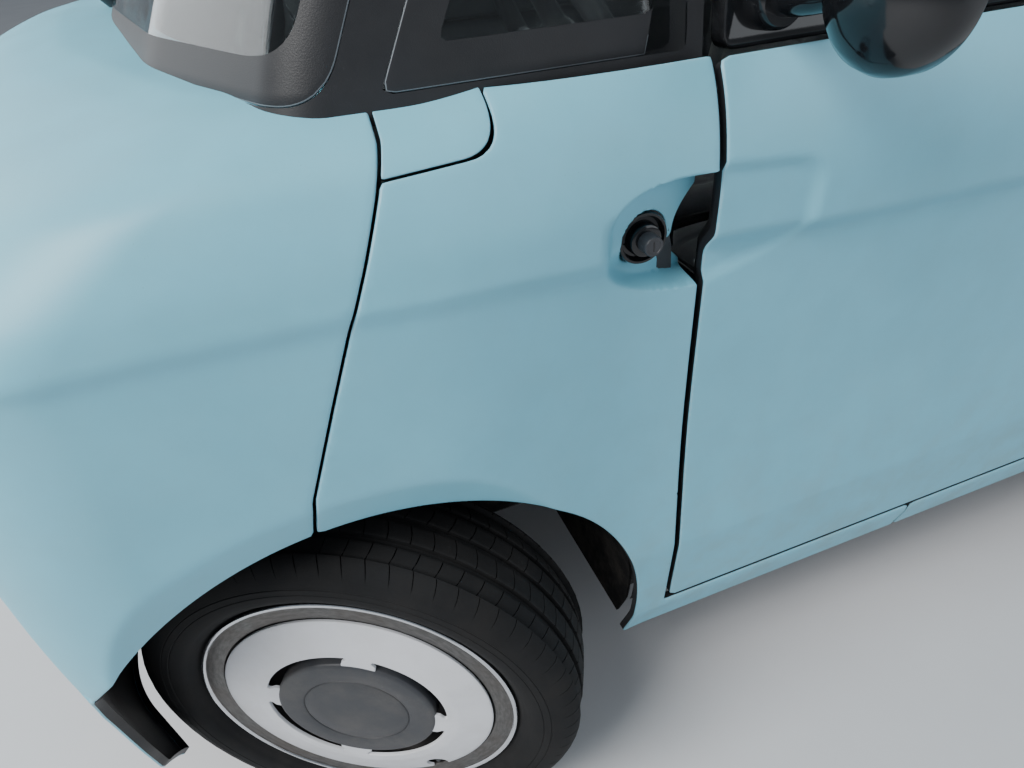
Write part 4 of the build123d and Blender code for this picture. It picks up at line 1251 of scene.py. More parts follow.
def block_patch(low: Sequence[float], high: Sequence[float], radius: float) -> Patch:
    """A block with softly rounded edges: a sphere of directions pushed out to a rounded box.

    Each direction's point is the inner box's corner nearest it plus the radius along it.
    """
    low, high = np.array(low, float), np.array(high, float)
    centre, half = (low + high) / 2, (high - low) / 2 - radius
    lat = np.array([-90, -89.9, -60, -30, -0.001, 0.001, 30, 60, 89.9, 90.0]) * math.pi / 180
    quarter = np.array([0.001, 30, 60, 89.999])
    lon = np.concatenate([quarter + 90 * k for k in range(4)]) * math.pi / 180
    la, lo = np.meshgrid(lat, lon, indexing="ij")
    way = np.stack([np.cos(la) * np.cos(lo), np.cos(la) * np.sin(lo), np.sin(la)], -1)
    flat = np.stack([np.sign(np.cos(lo)), np.sign(np.sin(lo)), np.where(la < 0, -1.0, 1.0)], -1)
    core = flat * half
    pole = np.abs(la) > 1.5708 - 1e-6
    core[pole] = core[pole] * np.array([0, 0, 1])
    points = centre + core + way * radius
    return grid_patch(points, wrap_cols=True).faced_from(centre)


@dataclass
class EndPanels(Panel):
    """Nose and tail: the same moulding with lamps, slots, a plate seat and a groove."""

    step: float = 6.5
    lamp: Triple = (455.0, 622.0, 75.5)
    slots: tuple[float, ...] = (262.0, 288.0, 314.0)

    def outline(self, p: Array) -> Array:
        """Outline of the end moulding with its lamp holes and slots."""
        x, y, z = p[..., 0], np.abs(p[..., 1]), p[..., 2]
        seam = (seam_x(z) + self.seam - x) * 0.97
        mouth = ARCH_RADIUS - 40.0 * (1 - smoothstep(275.0, 430.0, z))
        side = np.where(y > 380, np.maximum(seam, mouth - arch_distance(p)), -500.0)
        lamps = np.where(x > 1000, self.lamp[2] - np.hypot(y - self.lamp[0], z - self.lamp[1]), -500.0)
        made = np.maximum(side, lamps)
        for level in self.slots:
            slot = -rounded_box(y, z, (-250, level - 8), (250, level + 8), 7.5)
            made = np.maximum(made, np.where(x > 1100, slot, -500.0))
        return made

    def detail(self, p: Array) -> Array:
        """Arch chamfer, the step groove across the nose and the flat seat of the plate."""
        y, z = np.abs(p[..., 1]), p[..., 2]
        ahead = smoothstep(HALF_L - 190, HALF_L - 130, p[..., 0])
        groove = 5.0 * (1 - smoothstep(3.0, 7.0, np.abs(z - 439))) * ahead
        plate = rounded_box(y, z, (-135, 345), (135, 425), 8.0)
        seat = 5.5 * (1 - smoothstep(-1.0, 2.5, plate))
        return shift_along(settled(flared(p)), 0, -groove - np.where(p[..., 0] > 1150, seat, 0))

    def build(self) -> None:
        """Make nose and tail."""
        up = span(BODY.up_at(195), BODY.ups[-1], self.step)
        s = span(748, 2 * BODY.reach - 748, self.step)
        skin = self.skin(s, up, self.outline, self.detail)
        for end, axes in ENDS:
            Piece(f"skin_{end}_fascia", "root", (PAINT, BLACK_AND_GAP_SHADE), "body_panel", [f"{end}_fascia"]).add(
                *skin, axes=axes).build(50)


@dataclass
class Doors(Panel):
    """The two doors: skin with its shallow pad, and inner moulding with a pocket."""

    step: float = 5.0
    low: float = 258.0
    high: float = 949.0

    def outline(self, p: Array) -> Array:
        """Outline of the door skin, corners slightly rounded."""
        return rounded_box(p[..., 0], p[..., 2], (-DOOR_HALF, self.low), (DOOR_HALF, self.high), 7.0)

    def detail(self, p: Array) -> Array:
        """The shallow pad behind the leading edge."""
        return shift_along(p, 1, np.where(p[..., 0] > 0, -relief_depth(p), 0.0))

    def inner(self) -> Patch:
        """Inner moulding with a pocket: the form set in 62 mm, with a raised border."""

        def surface(s: Array, up: Array) -> Array:
            p = BODY.at(s, up)
            edge = rounded_box(p[..., 0], p[..., 2], (-392, 420), (392, 800), 40.0)
            pocket = smoothstep(-6, 4, -edge)
            p[..., 1] -= 64 - 26 * pocket
            return p

        made = trimmed_patch(surface, span(-460, 460, 9), span(BODY.up_at(254), BODY.up_at(906), 9),
                             lambda p: rounded_box(p[..., 0], p[..., 2], (-452, 258), (452, 898), 20.0), edge=6)
        return rolled_edge(made.faced((0, -1, 0)), 6.0, 34.0, 4)

    def build(self) -> None:
        """Make both doors."""
        s = span(-487, 487, self.step)
        up = span(BODY.up_at(230), BODY.up_at(953), self.step)
        skin = self.skin(s, up, self.outline, self.detail)
        for side, axes in DOORS:
            body = f"door_{side}"
            Piece(f"skin_{body}", body, (PAINT, BLACK_AND_GAP_SHADE), "body_panel", [f"{body}_panel"]).add(*skin, axes=axes).build(50)
            Piece(f"inner_{body}", body, (DASH,), "black_plastic").add(self.inner(), axes=axes).build(50)


# ---------------------------------------------------------------- glass and pillars


class Pane(Enum):
    """Openings above the belt that hold glass."""

    SCREEN = "screen"
    QUARTER = "quarter"
    DOOR = "door"
    ROOF = "roof"


@dataclass
class Greenhouse:
    """Glass, its printed borders and the pillars between, all on one smooth form."""

    step: float = 6.0
    border: float = 30.0
    gap: float = 1.5

    @staticmethod
    def outline(pane: Pane, p: Array) -> Array:
        """Signed distance of points of the form from one pane's outline."""
        x, y, z = p[..., 0], np.abs(p[..., 1]), p[..., 2]
        if pane is Pane.SCREEN:
            made = polygon_distance(x, z, [(797, 953), (1500, 953), (1500, 1440), (554, 1440)], 30.0)
            return np.where(x > 480, made, FAR)
        if pane is Pane.QUARTER:
            made = polygon_distance(x, z, [(502, 954), (757, 954), (524, 1412), (502, 1412)], 8.0)
            return np.where(y > 400, made, FAR)
        if pane is Pane.DOOR:
            made = rounded_box(x, z, (-477, 948), (467, 1425), 12.0)
            return np.where(y > 400, made, FAR)
        made = rounded_box(np.abs(x), y, (-410, -380), (410, 380), 90.0)
        return np.where(z > 1400, made, FAR)

    def pane(self, kind: Pane, s: Array, up: Array) -> list[Patch]:
        """Clear middle and printed border of one pane, flush in the form.

        Args:
            kind: Which pane.
            s: Way round the plan outline.
            up: Way up the cabin.

        Returns:
            Clear patch, its back (finish 0) and border patch with its pale edge (finishes 1, 2).
        """

        def far(p: Array) -> Array:
            return self.outline(kind, p)

        clear = trimmed_patch(CABIN.at, s, up, lambda p: far(p) + self.border).faced_from((0, 0, 900))
        ring = trimmed_patch(CABIN.at, s, up, lambda p: np.maximum(far(p) + self.gap, -far(p) - self.border), finish=1)
        ring = rolled_edge(ring.faced_from((0, 0, 900)), 1.2, 4.0, 2, finish=2,
                           only=lambda p: far(p) > -self.border / 2)
        return [clear, backed(clear, 4.0), ring]

    def frame_field(self, p: Array) -> Array:
        """Outline of the fixed pillars: the form less panes, door opening and clear borders."""
        door = rounded_box(np.abs(p[..., 0]), p[..., 2], (-487, 900), (487, 1432), 10)
        made = np.where(np.abs(p[..., 1]) > 300, -door, -FAR)
        for kind in (Pane.SCREEN, Pane.QUARTER, Pane.ROOF):
            made = np.maximum(made, -self.outline(kind, p))
        return made

    def build(self) -> None:
        """Make pillars and panes."""
        reach = CABIN.reach
        whole = span(0, reach, self.step)
        up = span(CABIN.up_at(934), CABIN.ups[-1], self.step)
        frame_patch = trimmed_patch(CABIN.at, whole, up, self.frame_field).faced_from((0, 0, 900))
        inner = backed(frame_patch, 28.0)
        post = Piece("pillars", "root", (BLACK_AND_GAP_SHADE, DASH), "black_plastic", ["cabin_frame"])
        for corner in Corner:
            post.add(frame_patch, inner.painted(1), axes=corner.value)
        post.build(50, merge=WELD)

        glass = (GLASS, BLACK_AND_GAP_SHADE, SEAL)
        low = CABIN.up_at(945)
        screen_s = span(CABIN.reach - 700, CABIN.reach + 700, self.step)
        screen = self.pane(Pane.SCREEN, screen_s, span(low, CABIN.up_at(1446), self.step))
        for name, axes in (("windscreen", ()), ("rear_window", (0,))):
            Piece(f"glass_{name}", "root", glass, "window", [name]).add(*screen, axes=axes).build(50)
        quarter = self.pane(Pane.QUARTER, span(490, 790, self.step), span(low, CABIN.up_at(1420), self.step))
        roof = self.pane(Pane.ROOF, whole, span(CABIN.up_at(1470), CABIN.ups[-1], self.step))
        side = Piece("glass_quarters", "root", glass, "window", ["side_windows"])
        top = Piece("glass_roof", "root", glass, "window", ["roof_glass"])
        for corner in Corner:
            side.add(*quarter, axes=corner.value)
            top.add(*roof, axes=corner.value)
        side.build(50)
        top.build(50, merge=WELD)
        self.build_door_windows(glass)

    def build_door_windows(self, glass: Sequence[Finish]) -> None:
        """Pane and frame of each door, with the black corner that carries the mirror."""
        s = span(-490, 480, self.step)
        up = span(CABIN.up_at(946), CABIN.up_at(1430), self.step)

        def clear_field(p: Array) -> Array:
            return np.where(p[..., 1] > 300, rounded_box(p[..., 0], p[..., 2], (-429, 985), (371, 1379), 24.0), FAR)

        frame_patch = trimmed_patch(CABIN.at, s, up, lambda p: np.maximum(self.outline(Pane.DOOR, p), -clear_field(p)),
                                    edge=2.0).faced_from((0, 0, 900))
        rolled = rolled_edge(frame_patch, 2.0, 20.0, 3)
        pane = trimmed_patch(CABIN.at, s, up, lambda p: clear_field(p) - 1.0).faced_from((0, 0, 900))
        pane = pane.moved(lambda p: p - np.array([0, 1.2, 0]))
        for side, axes in DOORS:
            body = f"door_{side}"
            Piece(f"frame_{body}", body, (GLOSS,), "black_plastic", [f"{body}_window_frame"]).add(
                rolled, axes=axes).build(50)
            Piece(f"glass_{body}", body, glass, "window", [f"{body}_window"]).add(
                pane, backed(pane, 4.0), axes=axes).build(50)


# ---------------------------------------------------------------- wheels


@dataclass(frozen=True)
class WheelPlace:
    """Where a wheel's own frame stands: its +Y is the wheel's outer side."""

    front: bool
    side: int

    def put(self, p: Array) -> Array:
        """Points of the wheel's own frame placed in the car's."""
        turn = (REST_STEER if self.front else 0.0) + (0.0 if self.side > 0 else math.pi)
        c, s = math.cos(turn), math.sin(turn)
        made = np.stack([p[..., 0] * c - p[..., 1] * s, p[..., 0] * s + p[..., 1] * c, p[..., 2]], -1)
        return made + np.array([AXLE_X if self.front else -AXLE_X, self.side * KINGPIN_Y, AXLE_Z])


@dataclass
class Tyre:
    """A road tyre: four ribs between three grooves, siped, with ribbed shoulders and walls."""

    radius: float = AXLE_Z
    groove_depth: float = 6.5
    pitches: int = 68
    sipe: float = 1.3

    def crown(self, y: Array) -> Array:
        """Radius of the tread's outer face at a distance from its middle."""
        return self.radius - 0.00075 * y * y - 0.0000009 * y ** 4

    def around(self, phase: float) -> tuple[Array, Array]:
        """Angles of four points at each sipe, and how deep in the sipe they stand."""
        pitch = 2 * math.pi / self.pitches
        half = self.sipe / self.radius / 2
        local = np.array([-half, -half * 0.8, half * 0.8, half])
        a = (np.arange(self.pitches)[:, None] * pitch + local[None] + phase * pitch).ravel()
        return a, np.tile(np.array([0.0, 1.0, 1.0, 0.0]), self.pitches)

    def rib(self, y0: float, y1: float, lean: float, phase: float, cut: float) -> Patch:
        """One rib: its radius is the crown's less the sipe's depth, and its walls go down into the grooves.

        Args:
            y0: Inner edge across the tread.
            y1: Outer edge.
            lean: Angle in millimetres along the tread that a sipe gains over the rib.
            phase: Share of a pitch by which its sipes are shifted.
            cut: Depth of the sipes.

        Returns:
            The patch.
        """
        a, deep = self.around(phase)
        t = np.array([0, 0, 0.06, 0.16, 0.4, 0.6, 0.84, 0.94, 1, 1])
        drop = np.array([self.groove_depth, 0.7, 0, 0, 0, 0, 0, 0, 0.7, self.groove_depth])
        open_share = np.array([1, 1, 1, 1, 0.75, 0.25, 1, 1, 1, 1.0])
        y = y0 + (y1 - y0) * t
        r = self.crown(y)[:, None] - np.maximum(drop[:, None], (deep[None] * open_share[:, None]) * cut)
        ang = a[None] + (lean * (t - 0.5) + 1.5 * np.sin(t * math.pi))[:, None] / self.radius
        return self.ring(r, y, ang)

    def ring(self, r: Array, y: Array, angle: Array) -> Patch:
        """Rows of points at distances y from the tyre's middle, as faces that point away from the axle."""
        return self.outward(ring_points(r, y[:, None] + WHEEL_MIDDLE, angle))

    def outward(self, points: Array) -> Patch:
        """A ring of points as faces that point away from the axle."""
        made = grid_patch(points, wrap_cols=True, uv=self.ring_uv(points))
        return made.outward(lambda middle: middle * np.array([1, 0, 1]))

    @staticmethod
    def ring_uv(points: Array) -> Array:
        """Surface coordinates of a ring: across, then around, in metres."""
        n, m = points.shape[:2]
        across = np.concatenate([[0], np.cumsum(np.linalg.norm(np.diff(points[:, 0], axis=0), axis=1))]) * MM
        around = np.linspace(0, 2 * math.pi * 0.25, m + 1)
        return np.stack(np.meshgrid(across, around, indexing="ij"), -1)

    def floor_ring(self, y0: float, y1: float) -> Patch:
        """Bottom of a groove."""
        y = np.linspace(y0, y1, 3)
        return self.ring((self.crown(y) - self.groove_depth + 0.02)[:, None], y, circle(144))

    def shoulder(self, side: int) -> Patch:
        """Shoulder from tread edge to wall, with a slot at each pitch."""
        a, deep = self.around(0.3)
        y = np.array([57.2, 57.8, 60, 64, 68, 71.5, 73.6])
        r = np.array([self.crown(np.array(57.0)) - 6, 270.2, 269.2, 266.4, 262.0, 256.0, 250.0], float)
        share = np.array([1, 1, 1, 1, 0.8, 0.4, 0.0])
        lean = (y - 57)[:, None] * 0.35 / self.radius
        return self.ring(r[:, None] - deep[None] * share[:, None] * 2.6, y * side, a[None] + lean)

    def wall(self, side: int) -> Patch:
        """Side wall: a bulged profile with fine raised rings and a rim guard, down to the bead."""
        y = np.array([73.6, 75.4, 76.3, 77.0, 76.4, 77.4, 77.5, 76.6, 77.3, 76.8, 75.0, 72.6, 71.6, 69.0, 65.5, 62.5,
                      60.6, 59.0])
        r = np.array([250.0, 245, 241, 238, 237, 236, 229, 228, 227, 221, 215, 210, 209.4, 205, 201.5, 199.4, 197.5,
                      195.5])
        return self.ring(r[:, None], y * side, circle(160)).faced((0, side, 0))

    def inner_wall(self) -> Patch:
        """Inside of the beads, which closes the ring against the rim."""
        r = np.array([195.5, 180.0, 180.0, 195.5])
        return self.ring(r[:, None], np.array([59.0, 58.8, -58.8, -59.0]), circle(96)).turned_over()

    def patches(self) -> list[Patch]:
        """All of one tyre, in the wheel's own frame."""
        ribs = [self.rib(-57.2, -35, 6, 0.1, 3.2), self.rib(-27, -4, -5, 0.45, 2.8), self.rib(4, 27, 5, 0.8, 2.8),
                self.rib(35, 57.2, -6, 0.3, 3.2)]
        floors = [self.floor_ring(-35, -27), self.floor_ring(-4, 4), self.floor_ring(27, 35)]
        return ribs + floors + [self.shoulder(1), self.shoulder(-1), self.wall(1), self.wall(-1), self.inner_wall()]


@dataclass
class Rim:
    """Pressed wheel: lip, textured ring, cover seat, dished disc and barrel."""

    face: float = 65.0

    def ring(self, profile: Outline, finish: int, count: int = 144) -> Patch:
        """Part of the wheel as a turned profile of lateral from its middle plane and radius."""
        return turned_patch([(y + WHEEL_MIDDLE, r) for y, r in profile], count, (0, 0, 0)).painted(finish)

    def patches(self) -> list[Patch]:
        """All of one rim, in the wheel's own frame: ring 0, lip 1, disc 2."""
        f = self.face
        lip = self.ring([(59, 186), (59, 194), (61.5, 195.3), (f - 1, 195.2), (f - 0.2, 194.2), (f, 192.6),
                         (f - 0.4, 190.8), (f - 1.6, 189.6)], 1)
        ring = self.ring([(f - 1.6, 189.6), (f - 2.4, 188.8), (f - 2.1, 184), (f - 2.3, 178), (f - 2.6, 172),
                          (f - 3.2, 168.4), (f - 4.6, 167.2), (f - 12, 167)], 0)
        disc = self.ring([(f - 12, 167), (f - 12.3, 152), (f - 22, 146), (f - 35, 140), (f - 36, 136), (f - 34, 110),
                          (f - 36, 84), (f - 36, 60), (f - 34, 32), (f - 45, 32), (f - 45, 142), (f - 39, 158),
                          (-49, 158), (-64, 185), (-64, 190), (-59, 190), (-59, 180)], 2)
        return [lip, ring, disc]


@dataclass
class Cover:
    """Crowned wheel cover with four windows and a valve notch, and its dark cap."""

    edge: float = 166.0
    window: float = 111.0
    cap: float = 97.5
    valve: Triple = (-80.9, -134.6, 14.0)

    def dish(self, r: Array) -> Array:
        """Lateral of the cover's face at a radius: a shallow crown up to the cap."""
        return np.interp(r, [70, 98, 111, 125, 158, 163, 165, 166],
                         [118.4, 118.6, 118.4, 117.4, 111.2, 110.2, 109.6, 108.8])

    def outline(self, p: Array) -> Array:
        """Edge, valve notch and the four windows with their notched ends."""
        x, z = p[..., 0], p[..., 2]
        r = np.hypot(x, z)
        made = np.maximum(r - self.edge, 80 - r)
        made = np.maximum(made, self.valve[2] - np.hypot(x - self.valve[0], z - self.valve[1]))
        a = np.arctan2(z, x) - 0.21
        off = np.abs((a + math.pi / 4) % (math.pi / 2) - math.pi / 4) * r
        bridge = 15.0 + 5.0 * smoothstep(107.0, 101.0, r)
        slot = np.maximum(np.maximum(r - self.window, 88 - r), bridge - off)
        return np.maximum(made, -slot)

    def patches(self) -> list[Patch]:
        """All of one cover, in the wheel's own frame: plate 0, cap 1."""

        def surface(q: Array, a: Array) -> Array:
            return ring_points(q, self.dish(q), a / 130.0)

        turn = 2 * math.pi * 130.0
        plate = trimmed_patch(surface, span(78, 168, 2.4), np.linspace(0, turn, 321), self.outline, edge=0.9)
        plate = rolled_edge(plate.faced((0, 1, 0)), 0.9, 4.0, 2)
        c = self.cap
        cap = turned_patch([(80, c - 0.6), (104, c - 0.6), (116.4, c - 0.1), (118.4, c - 1.0), (119.6, c - 3.4),
                            (120, c - 6), (120.2, 80), (120, 66.4), (119.5, 65.4), (118.6, 64.9), (118.6, 64.0),
                            (119.5, 63.4), (120, 62.4), (120.7, 44), (120.9, 20), (120.9, 0.01)], 144,
                           (0, 0, 0)).painted(1)
        return [plate, cap]


@dataclass
class Wheels:
    """The four wheels with their valves."""

    tyre: Tyre = field(default_factory=Tyre)
    rim: Rim = field(default_factory=Rim)
    cover: Cover = field(default_factory=Cover)

    def build(self) -> None:
        """Make tyre, rim and cover of every wheel."""
        tyre, rim, cover = self.tyre.patches(), self.rim.patches(), self.cover.patches()
        x, z, _ = self.cover.valve
        cover.append(turned_patch([(88, 4), (97, 4), (99, 3.4), (100, 3.4), (108, 3.2), (109, 2.2), (109, 0.01)], 20,
                                  (x, 0, z)).painted(1))
        for corner in Corner:
            place = WheelPlace(0 not in corner.value, -1 if 1 in corner.value else 1)
            where = corner.label
            for name, finishes, slot, node, parts, sharp in (
                    ("rubber", (RUBBER,), "tyre", "tyre", tyre, 38),
                    ("metal", (RING, LIP, DISC), "rim", "rim", rim, 30),
                    ("disc", (COVER, CAP), "wheel_cover", "cover", cover, 40)):
                Piece(f"{name}_{where}", f"wheel_{where}", finishes, slot, [f"{node}_{where}"]).add(
                    *(p.moved(place.put) for p in parts)).build(sharp)


# ---------------------------------------------------------------- lamps, mirrors and wiper


@dataclass
class Lamps:
    """Round lamps at both ends: ring, lens and a reflector with its bulb."""

    y: float = 455.0
    z: float = 622.0
    radius: float = 74.0

    def skin_x(self, y: Array, z: Array) -> Array:
        """How far forward the nose's skin stands at a place seen from the front."""
        s = np.linspace(BODY.reach - 720, BODY.reach, 300)
        p = BODY.at(s, BODY.up_at(self.z))
        return np.interp(y, p[::-1, 1], p[::-1, 0])

    def disc(self, rings: Outline, finish: int) -> Patch:
        """Round patch whose points stand at radius r and depth d behind the nose's skin."""
        line = np.array(rings, float)
        a = circle(96)
        y = self.y + line[:, :1] * np.cos(a)
        z = self.z + line[:, :1] * np.sin(a)
        points = np.stack([self.skin_x(y, z) - line[:, 1:], y, z], -1)
        return grid_patch(points, wrap_cols=True).faced((1, 0, 0)).painted(finish)

    def build(self) -> None:
        """Make the four lamps."""
        r = self.radius
        lens = self.disc([(0.01, -3.0), (20, -2.8), (40, -2.2), (56, -1.4), (64, -0.6), (66, 0.4)], 0)
        ring = self.disc([(66, 0.6), (67, -0.9), (70, -1.6), (73, -1.0), (r, 0.6), (r, 24)], 1)
        bowl = self.disc([(66, 1.0), (60, 12), (46, 26), (28, 36), (12, 40), (11, 30), (8, 24), (0.01, 22)], 2)
        for end, lens_finish, axes in (("front", LENS, ()), ("rear", RED, (0,))):
            for side, more in (("left", ()), ("right", (1,))):
                node = ["headlamps" if end == "front" else "tail_lamps"]
                Piece(f"lamp_{end}_{side}", "root", (lens_finish, GLOSS, CHROME), "lamp", node).add(
                    lens, ring, bowl, axes=axes + more).build(40)


def tube(path: Array, radius: float | Array, count: int = 16) -> Patch:
    """A round bar along a path: circles across the path's direction, capped by shrinking rings.

    Args:
        path: (n, 3) points of its middle line.
        radius: One radius, or one for each point.
        count: Points round it.

    Returns:
        The closed patch.
    """
    way = np.gradient(path, axis=0)
    way /= np.linalg.norm(way, axis=1, keepdims=True)
    ref = np.array([0.0, 0.0, 1.0]) if abs(way[:, 2]).max() < 0.9 else np.array([1.0, 0.0, 0.0])
    side = np.cross(way, ref)
    side /= np.linalg.norm(side, axis=1, keepdims=True)
    up = np.cross(side, way)
    r = np.broadcast_to(np.asarray(radius, float), (len(path),))
    first, last = path[0] - way[0] * 1e-3, path[-1] + way[-1] * 1e-3
    path = np.vstack([first, path, last])
    r = np.concatenate([[0.01], r, [0.01]])
    side, up = (np.vstack([v[:1], v, v[-1:]]) for v in (side, up))
    a = circle(count)[None, :, None]
    points = path[:, None] + r[:, None, None] * (side[:, None] * np.cos(a) + up[:, None] * np.sin(a))
    made = grid_patch(points, wrap_cols=True, uv=edge_lengths(np.concatenate([points, points[:, :1]], 1)))
    return made.outward(lambda middle: middle - path[made.quads[:, 0] // count])


def smooth_path(points: Sequence[Sequence[float]], count: int) -> Array:
    """A curve through points, as cubic spans with mean slopes."""
    corners = np.array(points, float)
    knots = np.concatenate([[0], np.cumsum(np.linalg.norm(np.diff(corners, axis=0), axis=1))])
    return hermite(knots, corners, np.linspace(0, knots[-1], count))


@dataclass
class Mirrors:
    """Round door mirrors on a stem from the black corner of the window."""

    centre: Triple = (424.0, 760.0, 1004.0)
    radius: float = 58.0

    def patches(self) -> list[Patch]:
        """Shell 0, glass 1, in the place of the left one."""
        r = self.radius
        c = np.array(self.centre)
        profile = [(-12, r - 2.2), (-12, r - 0.6), (-10.5, r), (0, r), (8, r * 0.985), (18, r * 0.90), (27, r * 0.74),
                   (34, r * 0.5), (38, r * 0.25), (39, 0.01)]

        def turned(line: Outline) -> Patch:
            line = np.array(line, float)
            return grid_patch(ring_points(line[:, 1:], line[:, :1], circle(96))[..., [1, 0, 2]] + c, wrap_cols=True)

        shell = turned(profile).faced_from(c)
        lip = turned([(-12, r - 2.2), (-8.5, r - 3.6), (-8.0, r - 5.2)]).faced((-1, 0, 0))
        glass = turned([(-8.0, r - 5.2), (-9.0, r * 0.5), (-9.2, 0.01)]).faced((-1, 0, 0))
        stem = tube(smooth_path([(425, 640, 986), (425, 684, 990), (424, 722, 996), (424, 752, 1003)], 22),
                    np.interp(np.linspace(0, 1, 22), [0, 0.25, 0.5, 1], [17, 15, 12, 12]))
        base = tube(smooth_path([(425, 622, 985), (425, 645, 985), (425, 651, 985)], 8),
                    np.array([26, 26, 26, 26, 25.5, 25, 24, 21.0]), 40)
        return [shell, lip, glass.painted(1), stem, base]

    def build(self) -> None:
        """Make both mirrors."""
        for side, axes, shift in (("left", (), 0.0), ("right", (1,), 27.0)):
            parts = (p.mirrored(axes).moved(lambda q: shift_along(q, 0, shift)) for p in self.patches())
            Piece(f"mirror_set_{side}", f"door_{side}", (GLOSS, CHROME), "black_plastic", [f"mirror_{side}"]).add(
                *parts).build(40)


@dataclass
class Wiper:
    """Single wiper: spindle cap, tapered arm and a blade on the windscreen."""

    def build(self) -> None:
        """Make the wiper, lying on the glass."""
        s = np.linspace(CABIN.reach - 40, CABIN.reach - 560, 60)
        up = np.interp(np.linspace(0, 1, 60), [0, 1], [CABIN.up_at(1000), CABIN.up_at(1085)])
        on = CABIN.at(s, up)
        out = np.array([0.62, 0.18, 0.76])
        blade = tube(on + out * 7, 3.4, 10)
        spine = tube(on[4:-4] + out * 13, 3.0, 10)
        pivot = on[0] * np.array([1, 0, 1]) + np.array([14, 34, -14])
        arm = tube(smooth_path([pivot + out * 10, on[12] + out * 26, on[30] + out * 20, on[32] + out * 16], 20),
                   np.linspace(8, 4, 20), 12)
        cap = tube(np.stack([pivot - out * 6, pivot + out * 12, pivot + out * 16]), np.array([13, 13, 9.0]), 24)
        Piece("wiper_set", "root", (TRIM,), "black_plastic", ["wiper"]).add(blade, spine, arm, cap).build(40)


# ---------------------------------------------------------------- cabin fittings


@dataclass
class Seats:
    """Two seats: crowned cushions with sewn channels, side bolsters and piping."""

    y: float = 235.0

    def pad(self, width: float, length: float, thick: float, channels: int) -> list[Patch]:
        """A closed cushion, lying flat with its face up.

        Its plan is nearly square, its height a flat dome less a channel at each seam line.

        Args:
            width: Size across.
            length: Size along.
            thick: Height in the middle.
            channels: Number of sewn channels across it.

        Returns:
            Top and bottom in one patch.
        """
        u, v = (np.sin(np.linspace(-1, 1, count) * math.pi / 2) for count in (61, 81))
        uu, vv = np.meshgrid(u, v, indexing="ij")
        swell = (1 - np.abs(uu) ** 7) ** (1 / 2.4) * (1 - np.abs(vv) ** 7) ** (1 / 2.4)
        bolster = 0.16 * smoothstep(0.55, 0.85, np.abs(uu))
        lines = np.cos(np.clip(vv / 0.8, -1, 1) * channels * math.pi) ** 2
        seam = np.exp(-(lines / 0.05)) * 7.0 * (np.abs(uu) < 0.62) * (np.abs(vv) < 0.8)
        edge = 5.0 * np.exp(-((np.abs(uu) - 0.62) / 0.018) ** 2)
        pull = 1 - 0.025 * (uu * uu + vv * vv)
        x, y = vv * length / 2 * pull, uu * width / 2 * pull
        crown = 0.86 + bolster + 0.08 * (1 - vv * vv) * (1 - uu * uu)
        top = thick * 0.5 + thick * 0.5 * swell * crown - (seam + edge) * swell
        low = thick * 0.5 - thick * 0.5 * swell * 0.96
        uv = np.stack([x, y], -1) * MM
        up = grid_patch(np.stack([x, y, top], -1), uv=uv).faced((0, 0, 1))
        down = grid_patch(np.stack([x, y, low], -1), uv=uv).faced((0, 0, -1))
        return [up, down]

    def piping(self, width: float, length: float, z: float) -> Patch:
        """Cord sewn round the cushion's seam."""
        a = circle(96)
        q = 2.0 / 9.0
        x = np.sign(np.cos(a)) * np.abs(np.cos(a)) ** q * length / 2 * 0.972
        y = np.sign(np.sin(a)) * np.abs(np.sin(a)) ** q * width / 2 * 0.972
        path = np.stack([x, y, np.full_like(x, z)], -1)
        way = np.roll(path, -1, 0) - np.roll(path, 1, 0)
        way /= np.linalg.norm(way, axis=1, keepdims=True)
        side = np.cross(way, [0, 0, 1.0])
        t = circle(8)[None, :, None]
        points = path[:, None] + 3.2 * (side[:, None] * np.cos(t) + np.array([0, 0, 1.0]) * np.sin(t))
        return grid_patch(points, wrap_rows=True, wrap_cols=True).faced_from((0, 0, z)).painted(1)

    def build(self) -> None:
        """Make the cushions of both seats, each a base and a back with piping."""
        tilt = math.radians(-14)
        for side, sign in (("left", 1), ("right", -1)):

            def on_base(p: Array) -> Array:
                return p + np.array([-55, self.y * sign, 421])

            def on_back(p: Array) -> Array:
                upright = np.stack([p[..., 2] - 66, p[..., 1], p[..., 0] + 268], -1)
                return turned_about_y(upright, tilt) + np.array([-205, self.y * sign, 512])

            base = [p.moved(on_base) for p in self.pad(404, 440, 78, 4) + [self.piping(404, 440, 38)]]
            back = [p.moved(on_back) for p in self.pad(404, 532, 74, 5) + [self.piping(404, 532, 37)]]
            made = Piece(f"cushions_{side}", "root", (CLOTH, TRIM), "seat_cloth", [f"seat_{side}"]).add(
                *base, *back).build(60)


